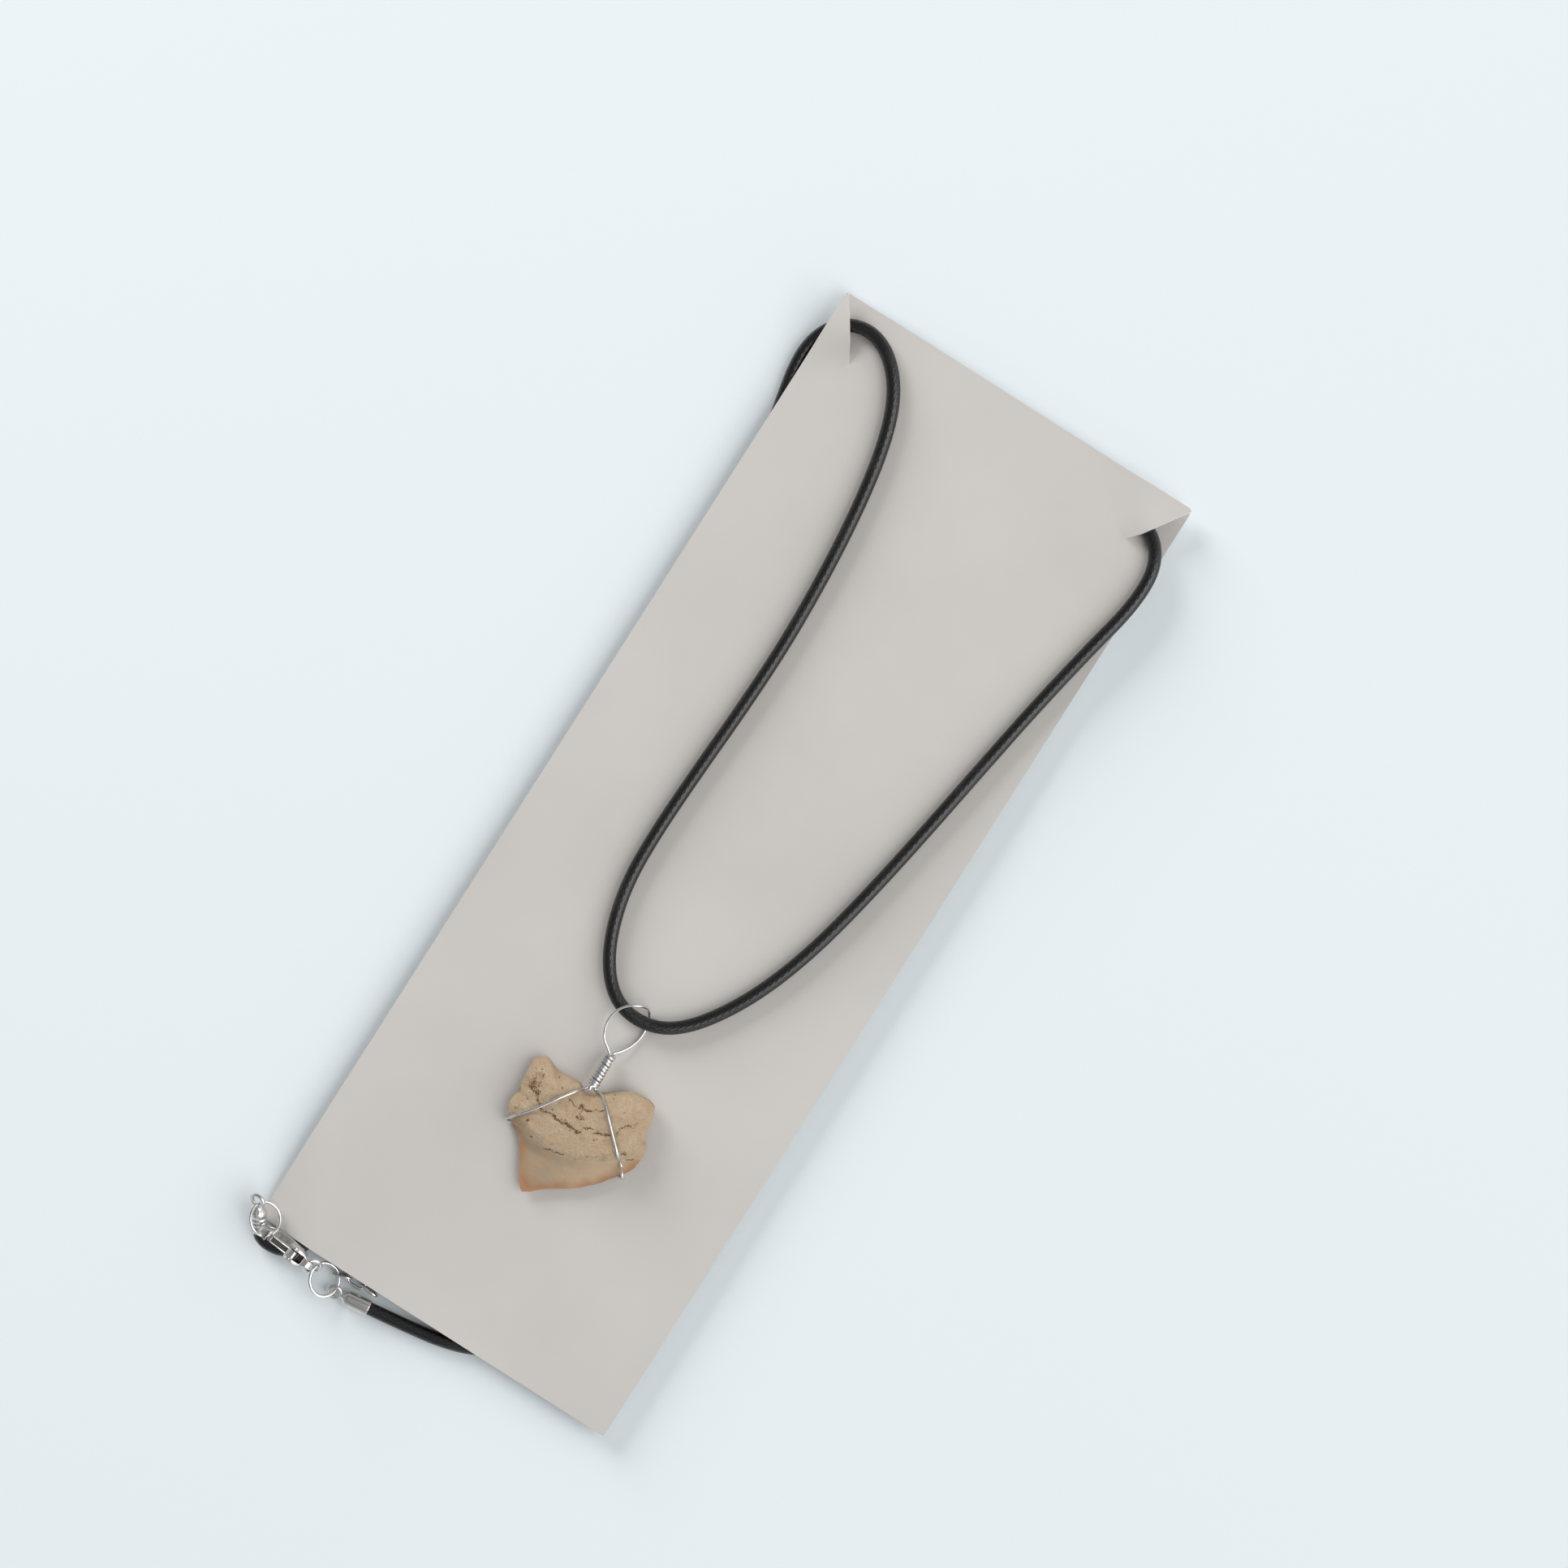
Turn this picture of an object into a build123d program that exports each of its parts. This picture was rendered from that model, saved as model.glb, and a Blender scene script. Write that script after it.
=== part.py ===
from build123d import *
import math
import os

# A shark tooth pendant on a waxed cord, looped round its display card and lying on a table.
# Millimetres, +Z up from the table, +X to the card's right edge and +Y to its top edge.
# Places are written from the card's middle. The finished nodes are then moved so that the
# origin lies under the middle of everything but the cord.

# Frame
CARD_MIDDLE_X = 1.4
CARD_MIDDLE_Y = 2.4

# Rest gaps between pieces that lie on each other
REST_GAP = 0.15
THREAD_GAP = 0.08

# Cord
CORD_DIAMETER = 2.0
CORD_RADIUS = CORD_DIAMETER / 2
ARC_SHARE = 0.45

# Card
CARD_WIDTH = 60.0
CARD_HEIGHT = 161.0
CARD_THICKNESS = 0.5
CARD_UNDERSIDE = CORD_DIAMETER + REST_GAP
CARD_TOP = CARD_UNDERSIDE + CARD_THICKNESS
SLIT_IN = 6.0
SLIT_DOWN = 8.8
SLIT_WIDTH = 0.3
BEND_SIDE_DOWN = 14.5
BEND_TOP_IN = 16.0
LIFT = 1.5
PRESS = 1.25
LEFT_CROSSING = 5.1
RIGHT_CROSSING = 3.3
TIP_RELAX = 0.4
DROOP = 1.95
DROOP_POWER = 1.5
DROOP_SIDE_UP = 16.5
DROOP_BOTTOM_IN = 10.5
SHEET_GRID = 22

# Tooth
TOOTH_WIDTH = 21.1
TOOTH_HEIGHT = 21.3
TOOTH_NOTCH = (1.7, -39.0)
ROOT_BULGE = 3.3
CROWN_BULGE = 2.1
BACK_BULGE = 0.7
TOOTH_RINGS = 7
POINTS_PER_SPAN = 3
CROWN_LINE = -0.45
CROWN_LINE_SLOPE = 0.278
CROWN_LINE_BOW = 0.030
CROWN_LINE_BLEND = 0.085

# Silver wire of the pendant
WIRE_DIAMETER = 0.4
WIRE_RADIUS = WIRE_DIAMETER / 2
TOOTH_EDGE_Z = CARD_TOP + REST_GAP + WIRE_DIAMETER + THREAD_GAP + BACK_BULGE
LEG_LIFT = 0.42
NECK_TURNS = 10
NECK_LEAD = 0.4
NECK_PITCH = 0.52
NECK_CORE_RADIUS = 0.42
NECK_COIL_RADIUS = 0.55

# Cord ends
CRIMP_RADIUS = 1.2
CRIMP_LENGTH = 5.6
CRIMP_SHOULDER = 1.9
CRIMP_WALL = 0.17
CRIMP_RECESS = 0.4
CRIMP_SEAM = 0.22
CRIMP_LOOP_RADIUS = 1.0
CRIMP_LOOP_WIRE = 0.56

# Rings and chain
JUMP_RING_OUTER = 5.4
JUMP_RING_WIRE = 0.45
CLASP_RING_OUTER = 3.0
CLASP_RING_WIRE = 0.45
LINK_LENGTH = 3.2
LINK_WIDTH = 2.0
LINK_WIRE = 0.42

# Lobster clasp, lying on its edge on the cord
CLASP_BASE = CORD_DIAMETER + 0.2
CLASP_NOSE = (-28.9, -81.2)
CLASP_ANGLE = -6.5
CLASP_THICKNESS = 2.4
CLASP_NOSE_THICKNESS = 0.75
CLASP_TAPER = 3.2
NOSE_RADIUS = 2.3
NOSE_WALL = 0.55
BLOCK_CENTRE = (6.4, 2.0)
BLOCK_RADIUS = 1.75
EYE_CENTRE = (8.5, 2.0)
EYE_RADIUS = 1.1
EYE_HOLE = 0.62
EYE_THICKNESS = 1.0
PIVOT = (6.3, 2.75)
PIN_RADIUS = 0.3
PIN_GAP = 0.06
LEVER_THICKNESS = 1.1
LEVER_GAP = 0.08
LEVER_BOSS = 0.8
LEVER_TIP_X = 1.95
GATE_START = 1.75

UP = Vector(0, 0, 1)
HALF_WIDTH = CARD_WIDTH / 2
HALF_HEIGHT = CARD_HEIGHT / 2
FRONT_Z = CARD_TOP + REST_GAP + CORD_RADIUS
BACK_Z = CORD_RADIUS
BAIL_Z = CARD_TOP + WIRE_DIAMETER + CORD_RADIUS + 0.35

# The cord's route from the left cord end, behind the card, through the left slit, round the
# front, through the right slit and behind the card to the right cord end.
CORD_ROUTE = [
    (-29.10, -81.95, 1.74),
    (-28.67, -82.68, 1.23),
    (-27.90, -83.40, 1.02),
    (-26.35, -83.98, BACK_Z),
    (-24.25, -83.85, BACK_Z),
    (-22.30, -82.85, BACK_Z),
    (-20.90, -81.00, BACK_Z),
    (-20.30, -78.60, BACK_Z),
    (-20.25, -75.20, BACK_Z),
    (-21.00, -70.40, BACK_Z),
    (-22.10, -62.50, BACK_Z),
    (-23.10, -50.00, BACK_Z),
    (-23.30, -32.00, BACK_Z),
    (-22.90, -8.00, BACK_Z),
    (-23.00, 15.00, BACK_Z),
    (-24.00, 33.00, BACK_Z),
    (-26.10, 46.50, BACK_Z),
    (-28.80, 56.80, BACK_Z),
    (-30.50, 62.60, BACK_Z),
    (-31.45, 67.10, 1.02),
    (-31.40, 71.00, 1.25),
    (-30.20, 74.30, 1.85),
    (-27.60, 76.60, 2.53),
    (-24.30, 77.35, 3.12),
    (-21.10, 76.45, 3.64),
    (-18.20, 74.15, FRONT_Z),
    (-15.80, 70.80, FRONT_Z),
    (-14.00, 66.30, FRONT_Z),
    (-12.55, 60.30, FRONT_Z),
    (-11.30, 52.00, FRONT_Z),
    (-10.40, 42.00, FRONT_Z),
    (-9.95, 31.00, FRONT_Z),
    (-10.20, 20.00, FRONT_Z),
    (-10.75, 9.00, FRONT_Z),
    (-11.05, -1.50, FRONT_Z),
    (-10.75, -9.50, FRONT_Z),
    (-9.10, -16.50, FRONT_Z),
    (-6.40, -22.00, 4.05),
    (-2.70, -25.55, BAIL_Z),
    (1.70, -26.30, BAIL_Z),
    (6.20, -24.90, 4.20),
    (10.30, -20.60, FRONT_Z),
    (14.40, -13.30, FRONT_Z),
    (17.60, -4.00, FRONT_Z),
    (19.90, 6.50, FRONT_Z),
    (22.00, 18.50, FRONT_Z),
    (24.00, 31.50, FRONT_Z),
    (26.00, 44.00, FRONT_Z),
    (28.20, 55.50, FRONT_Z),
    (29.65, 62.00, FRONT_Z),
    (30.10, 66.90, 3.74),
    (29.65, 70.50, 3.46),
    (28.05, 73.35, 2.90),
    (25.40, 75.15, 2.36),
    (22.10, 75.75, 1.22),
    (18.95, 74.90, BACK_Z),
    (16.60, 72.60, BACK_Z),
    (15.10, 68.70, BACK_Z),
    (14.20, 62.00, BACK_Z),
    (13.80, 53.00, BACK_Z),
    (13.90, 40.00, BACK_Z),
    (14.50, 22.00, BACK_Z),
    (15.70, 0.00, BACK_Z),
    (17.30, -22.00, BACK_Z),
    (18.50, -40.00, BACK_Z),
    (18.70, -54.00, BACK_Z),
    (17.70, -64.50, BACK_Z),
    (15.30, -72.00, BACK_Z),
    (11.60, -77.20, BACK_Z),
    (7.00, -80.30, BACK_Z),
    (2.20, -81.80, BACK_Z),
    (-2.60, -82.55, 1.02),
    (-6.40, -83.05, 1.12),
    (-9.50, -83.42, 1.25),
]

# The tooth's outline, clockwise from the notch, in four spans between its corners.
# Each row is across and along, as shares of the tooth's width and height from the notch.
ROOT_LEFT = [
    (0.000, 0.000), (-0.062, 0.004), (-0.112, 0.027), (-0.200, 0.024), (-0.303, 0.026),
    (-0.388, 0.055), (-0.441, 0.036), (-0.474, -0.042), (-0.464, -0.136), (-0.448, -0.244),
    (-0.459, -0.338), (-0.417, -0.422),
]
CROWN_LEFT = [
    (-0.417, -0.422), (-0.341, -0.474), (-0.270, -0.526), (-0.204, -0.610),
    (-0.133, -0.732), (-0.090, -0.798), (-0.050, -0.817),
]
CROWN_RIGHT = [
    (-0.050, -0.817), (0.000, -0.782), (0.085, -0.709), (0.227, -0.615), (0.313, -0.540),
    (0.408, -0.432), (0.474, -0.347), (0.517, -0.272),
]
ROOT_RIGHT = [
    (0.517, -0.272), (0.526, -0.183), (0.507, -0.089), (0.455, -0.005), (0.436, 0.099),
    (0.403, 0.169), (0.355, 0.183), (0.223, 0.169), (0.104, 0.089), (0.024, 0.033),
    (0.000, 0.000),
]
TOOTH_CENTRE_SHARE = (0.055, -0.300)

# The wire's loop over and under the cord, from the neck and back to it.
BAIL_ROUTE = [
    (0.72, -32.70, 4.20),
    (-0.95, -31.40, 4.55),
    (-2.05, -29.40, 5.05),
    (-2.10, -27.20, 5.62),
    (-1.05, -25.05, 5.95),
    (0.60, -24.05, 5.45),
    (1.90, -24.00, 4.00),
    (2.80, -25.20, 2.98),
    (3.40, -27.20, 2.98),
    (3.05, -29.40, 3.12),
    (2.05, -31.30, 3.60),
    (0.92, -32.80, 4.15),
]
NECK_TOP = (0.80, -32.45, 4.25)
NECK_FOOT = (1.00, -37.80, 5.60)

# Where the wire's two legs cross the root's face, from the neck to the tooth's shoulders.
LEFT_LEG = [(-0.05, -39.02), (-0.80, -39.80), (-1.90, -41.20), (-3.20, -43.05), (-4.60, -44.95), (-5.95, -46.70)]
RIGHT_LEG = [(3.25, -38.35), (4.80, -39.65), (6.70, -41.55), (8.40, -43.15), (9.75, -44.42), (10.95, -45.62)]
LEFT_SHOULDER = (-7.10, -48.70)
RIGHT_SHOULDER = (12.05, -46.90)
BACK_MIDDLE = (2.50, -47.90)


def node(name, shape):
    """Moves a finished piece into the part's frame and writes it as one node."""
    placed = shape.moved(Location((CARD_MIDDLE_X, CARD_MIDDLE_Y, 0)))
    placed.label = name
    export_step(placed, f"parts/{name}.step")
    print(f"{name}: {placed.volume:.2f} mm3")


def smooth(share):
    """Eases a share from 0 to 1."""
    share = min(1.0, max(0.0, share))
    return share * share * (3 - 2 * share)


def rounded_path(points, share=ARC_SHARE):
    """Joins straight runs by arcs as large as their shorter run allows, with the radii."""
    spots = [Vector(*point) for point in points]
    radii = []
    for before, here, after in zip(spots, spots[1:], spots[2:]):
        turn = math.radians((here - before).get_angle(after - here))
        shorter = min((here - before).length, (after - here).length)
        radii.append(share * shorter / math.tan(turn / 2))
    return FilletPolyline(*spots, radius=radii), radii


def round_tube(points, radius):
    """Sweeps a round section along a rounded path."""
    path, radii = rounded_path(points)
    section = Plane(origin=path @ 0, z_dir=path % 0) * Circle(radius)
    return sweep(section, path=path), path, radii


def flat_region(corners):
    """Gives an upright prism over a flat region of the card."""
    return extrude(make_face(Polyline(*corners, close=True)), 30, both=True)


def warped_region(corners, rise):
    """Bends one region of the card: a smooth sheet whose rise over the flat card is a formula."""
    margin = 0.5
    xs, ys = [corner[0] for corner in corners], [corner[1] for corner in corners]
    left, right = min(xs) - margin, max(xs) + margin
    low, high = min(ys) - margin, max(ys) + margin
    steps = [index / SHEET_GRID for index in range(SHEET_GRID + 1)]
    places = [[(left + (right - left) * a, low + (high - low) * b) for b in steps] for a in steps]
    grid = [[(x, y, CARD_TOP + rise(x, y)) for x, y in column] for column in places]
    top = Face.make_surface_from_array_of_points(grid, tol=0.003)
    return extrude(top, CARD_THICKNESS, dir=(0, 0, -1)) & flat_region(corners)


def slit_rise(side, height, crossing, fold_corner):
    """Gives the rise beside a slit: fullest where the cord crosses, none along the fold."""
    end = (side * (HALF_WIDTH - SLIT_IN), HALF_HEIGHT - SLIT_DOWN)
    slit_length = math.hypot(SLIT_IN, SLIT_DOWN)
    slit_way = Vector(side * SLIT_IN, SLIT_DOWN)
    fold_way = Vector(fold_corner[0] - end[0], fold_corner[1] - end[1])
    widest = slit_way.get_angle(fold_way)
    full = crossing + CORD_DIAMETER * 0.65

    def rise(x, y):
        way = Vector(x - end[0], y - end[1])
        reach = way.length
        if reach < 1e-6:
            return 0.0
        turned = min(1.0, way.get_angle(slit_way) / widest)
        if way.get_angle(fold_way) > widest:
            turned = 0.0
        swell = smooth(reach / crossing)
        relax = 1 - TIP_RELAX * smooth((reach - full) / (slit_length - full))
        return height * swell * relax * (1 - smooth(turned))

    return rise


def droop_rise(line_from, line_to, corner):
    """Gives the sag of the corner that the clasp weighs down, from a line to the corner."""
    start, end, tip = Vector(*line_from), Vector(*line_to), Vector(*corner)
    along = (end - start).normalized()
    away = Vector(-along.Y, along.X)
    if away.dot(tip - start) < 0:
        away = away * -1
    deepest = away.dot(tip - start)
    return lambda x, y: -DROOP * (max(0.0, away.dot(Vector(x, y) - start)) / deepest) ** DROOP_POWER


def make_card():
    """Builds the card with its two slit corners and the corner that the clasp weighs down."""
    parts, outline = [], []
    for side, crossing in ((-1, LEFT_CROSSING), (1, RIGHT_CROSSING)):
        corner = (side * HALF_WIDTH, HALF_HEIGHT)
        inner = (side * (HALF_WIDTH - SLIT_IN), HALF_HEIGHT - SLIT_DOWN)
        on_side = (side * HALF_WIDTH, HALF_HEIGHT - BEND_SIDE_DOWN)
        on_top = (side * (HALF_WIDTH - BEND_TOP_IN), HALF_HEIGHT)
        turn = math.degrees(math.atan2(SLIT_DOWN, side * SLIT_IN))
        cut = Location((*inner, CARD_TOP)) * Rotation(0, 0, turn) * Location((10, 0, 0)) * Box(20, SLIT_WIDTH, 20)
        flap_height, main_height = (LIFT, -PRESS) if side < 0 else (-PRESS, LIFT)
        for fold, height in ((on_side, flap_height), (on_top, main_height)):
            region = warped_region([fold, inner, corner], slit_rise(side, height, crossing, fold))
            parts.append(region - cut)
        outline += [on_side, inner, on_top] if side < 0 else [on_top, inner, on_side]
    low_corner = (-HALF_WIDTH, -HALF_HEIGHT)
    on_side = (-HALF_WIDTH, -HALF_HEIGHT + DROOP_SIDE_UP)
    on_bottom = (-HALF_WIDTH + DROOP_BOTTOM_IN, -HALF_HEIGHT)
    sag = droop_rise(on_side, on_bottom, low_corner)
    parts.append(warped_region([on_side, on_bottom, low_corner], sag))
    outline += [(HALF_WIDTH, -HALF_HEIGHT), on_bottom, on_side]
    flat = extrude(make_face(Polyline(*outline, close=True)), CARD_THICKNESS)
    card = flat.moved(Location((0, 0, CARD_UNDERSIDE)))
    for part in parts:
        card = card + part
    return card


def make_cord():
    """Builds the cord and prints its length, radii and how its volume agrees with both."""
    tube, path, radii = round_tube(CORD_ROUTE, CORD_RADIUS)
    print("cord length", round(path.length, 1))
    print("cord radii", [round(radius, 1) for radius in radii])
    expected = math.pi * CORD_RADIUS**2 * path.length
    print("cord volume share", round(tube.volume / expected, 4))
    return tube


def catmull_rom(before, start, end, after, share):
    """Gives a point of the smooth curve through start and end."""
    square, cube = share**2, share**3
    return tuple(
        0.5 * (2 * b + (c - a) * share + (2 * a - 5 * b + 4 * c - d) * square + (3 * b - a - 3 * c + d) * cube)
        for a, b, c, d in zip(before, start, end, after)
    )


def tooth_outline():
    """Gives the outline's points in millimetres from the notch, smooth between the corners."""
    points = []
    for span in (ROOT_LEFT, CROWN_LEFT, CROWN_RIGHT, ROOT_RIGHT):
        padded = [span[0]] + span + [span[-1]]
        for index in range(len(span) - 1):
            for step in range(POINTS_PER_SPAN):
                share = catmull_rom(*padded[index:index + 4], step / POINTS_PER_SPAN)
                points.append((share[0] * TOOTH_WIDTH, share[1] * TOOTH_HEIGHT))
    return points


OUTLINE = tooth_outline()
CENTRE = (TOOTH_CENTRE_SHARE[0] * TOOTH_WIDTH, TOOTH_CENTRE_SHARE[1] * TOOTH_HEIGHT)


def edge_share(x, y):
    """Gives how far a point is from the outline to the centre: 0 on the edge, 1 in the middle."""
    dx, dy = x - CENTRE[0], y - CENTRE[1]
    for (ax, ay), (bx, by) in zip(OUTLINE, OUTLINE[1:] + OUTLINE[:1]):
        ax, ay, bx, by = ax - CENTRE[0], ay - CENTRE[1], bx - CENTRE[0], by - CENTRE[1]
        cross = dx * (by - ay) - dy * (bx - ax)
        if abs(cross) < 1e-9:
            continue
        scale = (ax * by - ay * bx) / cross
        place = (ax * dy - ay * dx) / cross
        if scale > 0 and -1e-6 <= place <= 1 + 1e-6:
            return max(0.0, 1 - 1 / scale)
    return 1.0


def tooth_front(x, y, share):
    """Gives the front face's height over the edge: a blunt, bulging root and a sharp crown."""
    across = x - CENTRE[0]
    line = CROWN_LINE * TOOTH_HEIGHT + CROWN_LINE_SLOPE * across + CROWN_LINE_BOW * across**2
    crown = smooth(0.5 - (y - line) / (2 * CROWN_LINE_BLEND * TOOTH_HEIGHT))
    root_height = ROOT_BULGE * (1 - (1 - min(1, share * 2.2)) ** 2) ** 0.5
    crown_height = CROWN_BULGE * (1 - (1 - min(1, share * 1.25)) ** 1.6)
    groove = 0.5 * math.exp(-((x - 0.6) / 1.9) ** 2) * smooth(1 + (y - line) / (0.3 * TOOTH_HEIGHT))
    return (root_height - groove * min(1, share * 3)) * (1 - crown) + crown_height * crown


def tooth_back(share):
    """Gives the back face's depth under the edge."""
    return BACK_BULGE * (1 - (1 - min(1, share * 2.5)) ** 2)


def make_tooth():
    """Builds the tooth as rings of facets from its edge to its middle, front and back."""
    def ring_point(point, ring, front):
        share = ring / TOOTH_RINGS
        x = point[0] + (CENTRE[0] - point[0]) * share
        y = point[1] + (CENTRE[1] - point[1]) * share
        rise = tooth_front(x, y, share) if front else -tooth_back(share)
        return Vector(TOOTH_NOTCH[0] + x, TOOTH_NOTCH[1] + y, TOOTH_EDGE_Z + rise)

    facets = []
    for start, end in zip(OUTLINE, OUTLINE[1:] + OUTLINE[:1]):
        for front in (True, False):
            for ring in range(TOOTH_RINGS):
                a, b = ring_point(start, ring, front), ring_point(end, ring, front)
                c, d = ring_point(end, ring + 1, front), ring_point(start, ring + 1, front)
                facets.append((a, b, d))
                if ring < TOOTH_RINGS - 1:
                    facets.append((b, c, d))
    faces = [Face(Wire.make_polygon(facet, close=True)) for facet in facets]
    return Solid(Shell(faces))


def over_tooth(x, y):
    """Gives the height of a wire's middle that lies on the tooth's front at a place."""
    local = (x - TOOTH_NOTCH[0], y - TOOTH_NOTCH[1])
    share = edge_share(*local)
    return TOOTH_EDGE_Z + tooth_front(*local, share) + WIRE_RADIUS + LEG_LIFT


def make_leg(across_face, shoulder):
    """Builds one leg: from the neck's foot over the root's face, round its edge and behind it."""
    under = CARD_TOP + REST_GAP / 2 + WIRE_RADIUS
    last = Vector(*across_face[-1])
    edge = Vector(*shoulder)
    near_edge = last + (edge - last) * 0.66
    foot = Vector(*NECK_FOOT)
    start = Vector(*across_face[0], over_tooth(*across_face[0]))
    middle = Vector(*BACK_MIDDLE)
    inward = edge + (middle - edge).normalized() * 0.5
    route = [foot, foot + (start - foot) * 0.5 + UP * 0.25]
    route += [Vector(x, y, over_tooth(x, y)) for x, y in across_face]
    route += [
        Vector(near_edge.X, near_edge.Y, TOOTH_EDGE_Z + 1.75),
        Vector(edge.X, edge.Y, TOOTH_EDGE_Z),
        Vector(inward.X, inward.Y, under),
        Vector(middle.X, middle.Y, under),
    ]
    leg, _, _ = round_tube(route, WIRE_RADIUS)
    return leg


def make_wire_wrap():
    """Builds the pendant's wire: the loop round the cord, the coiled neck and the two legs."""
    top, foot = Vector(*NECK_TOP), Vector(*NECK_FOOT)
    axis = foot - top
    wrap = Plane(origin=top, z_dir=axis) * Cylinder(
        NECK_CORE_RADIUS, axis.length, align=(Align.CENTER, Align.CENTER, Align.MIN))
    for turn in range(NECK_TURNS):
        spot = top + axis.normalized() * (NECK_LEAD + turn * NECK_PITCH)
        wrap = wrap + Plane(origin=spot, z_dir=axis) * Torus(NECK_COIL_RADIUS, WIRE_RADIUS)
    bail, _, _ = round_tube(BAIL_ROUTE, WIRE_RADIUS)
    wrap = wrap + bail
    for leg, shoulder in ((LEFT_LEG, LEFT_SHOULDER), (RIGHT_LEG, RIGHT_SHOULDER)):
        wrap = wrap + make_leg(leg, shoulder)
    return wrap


def make_crimp(loop_centre, axis, loop_normal, cord_start, cord_direction, seam_turn):
    """Builds a cord end: a loop, a shoulder and a rolled tube with its seam and open mouth."""
    frame = Plane(origin=loop_centre, x_dir=axis, z_dir=loop_normal)
    long = CRIMP_LENGTH + CRIMP_RADIUS
    profile = make_face(Polyline(
        (CRIMP_LOOP_RADIUS, 0), (CRIMP_LOOP_RADIUS, 0.4), (1.3, 0.45),
        (CRIMP_SHOULDER, CRIMP_RADIUS), (long, CRIMP_RADIUS), (long, 0), close=True))
    tube = revolve(profile, Axis.X)
    loop = Torus(CRIMP_LOOP_RADIUS, CRIMP_LOOP_WIRE / 2)
    seam_length = CRIMP_LENGTH - CRIMP_SHOULDER - 0.3
    seam = Rotation(seam_turn, 0, 0) * Location((CRIMP_SHOULDER + 0.3 + seam_length / 2 + 0.6, 0, CRIMP_RADIUS)) * Box(
        seam_length + 1.2, CRIMP_SEAM, 0.5)
    crimp = frame * (tube - seam + loop)
    start, direction = Vector(*cord_start), cord_direction.normalized()
    mouth = Plane(origin=start + direction * CRIMP_RECESS, z_dir=direction)
    beyond = mouth * Box(12, 12, 12, align=(Align.CENTER, Align.CENTER, Align.MIN))
    bore = Plane(origin=start, z_dir=direction) * Cylinder(
        CRIMP_RADIUS - CRIMP_WALL, 3, align=(Align.CENTER, Align.CENTER, Align.MIN))
    return crimp - beyond - bore


def make_link(start, end, normal):
    """Builds an oval link from where its wire turns at one end to where it turns at the other."""
    along = (end - start).normalized()
    middle = (start + end) * 0.5
    side = (LINK_WIDTH - LINK_WIRE) / 2
    half = (LINK_LENGTH - LINK_WIDTH) / 2
    shape = None
    for sign in (-1, 1):
        rod = Location((0, sign * side, 0)) * Rotation(0, 90, 0) * Cylinder(LINK_WIRE / 2, 2 * half)
        turn = Location((sign * half, 0, 0)) * Torus(side, LINK_WIRE / 2)
        turn = turn & (Location((sign * (half + 5), 0, 0)) * Box(10, 10, 10))
        shape = rod + turn if shape is None else shape + rod + turn
    return Plane(origin=middle, x_dir=along, z_dir=normal) * shape


def clasp_frame():
    """Gives the clasp's own frame: X from nose to eye, Z up, at the nose's foot."""
    turn = math.radians(CLASP_ANGLE)
    return Plane(
        origin=(CLASP_NOSE[0], CLASP_NOSE[1], CLASP_BASE),
        x_dir=(math.cos(turn), math.sin(turn), 0),
        z_dir=(0, 0, 1))


def side_shape(sketch, thickness):
    """Gives a clasp piece its thickness from its side view."""
    return extrude(Plane.XZ * sketch, thickness / 2, both=True)


def disc(centre, radius):
    """Gives a disc of a side view."""
    return Pos(*centre) * Circle(radius)


def hull(first, second):
    """Gives the outline stretched round two discs."""
    return make_hull(first.edges() + second.edges())


def make_clasp_body():
    """Builds the clasp's hook, block, fixed pin and eye."""
    nose = disc((NOSE_RADIUS, NOSE_RADIUS), NOSE_RADIUS)
    block = disc(BLOCK_CENTRE, BLOCK_RADIUS)
    eye = disc(EYE_CENTRE, EYE_RADIUS)
    hollow = hull(
        disc((NOSE_RADIUS - 0.05, NOSE_RADIUS + 0.05), NOSE_RADIUS - NOSE_WALL - 0.05),
        disc((4.6, 2.1), 1.15))
    gate = make_face(Polyline((GATE_START, 3.0), (GATE_START, 6), (5.9, 6), (5.2, 3.0), close=True))
    side = hull(nose, block) + hull(disc((7.4, 2.0), 1.1), eye) - hollow - gate
    side = side - disc(EYE_CENTRE, EYE_HOLE)
    body = side_shape(side, CLASP_THICKNESS)
    half, narrow = CLASP_THICKNESS / 2, CLASP_NOSE_THICKNESS / 2
    thin = EYE_THICKNESS / 2
    edge = [(-1, narrow), (0.3, narrow), (CLASP_TAPER, half), (6.8, half), (7.6, thin), (10, thin)]
    plan = make_face(Polyline(*edge, *[(x, -y) for x, y in reversed(edge)], close=True))
    body = body & extrude(plan, 10)
    slot_width = LEVER_THICKNESS + 2 * LEVER_GAP
    slot = Location((6.2, 0, 4.75)) * Box(3.2, slot_width, 6)
    body = body - slot
    pin = side_shape(disc(PIVOT, PIN_RADIUS), CLASP_THICKNESS)
    return clasp_frame() * (body + pin)


def make_clasp_lever():
    """Builds the clasp's lever: the boss on the pin, the tongue that shuts the hook and the knob."""
    tongue = make_face(Polyline(
        (LEVER_TIP_X, 3.72), (LEVER_TIP_X, 4.4), (2.6, 4.56), (5.4, 4.02), (6.6, 3.5), (5.6, 2.6), (4.9, 3.3),
        close=True))
    knob = disc((6.25, 3.95), 0.42)
    side = tongue + disc(PIVOT, LEVER_BOSS) + knob - disc(PIVOT, PIN_RADIUS + PIN_GAP)
    return clasp_frame() * side_shape(side, LEVER_THICKNESS)


def clasp_point(x, y, z):
    """Gives a point of the clasp's own frame in the card's."""
    return clasp_frame().from_local_coords(Vector(x, y, z))


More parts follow.
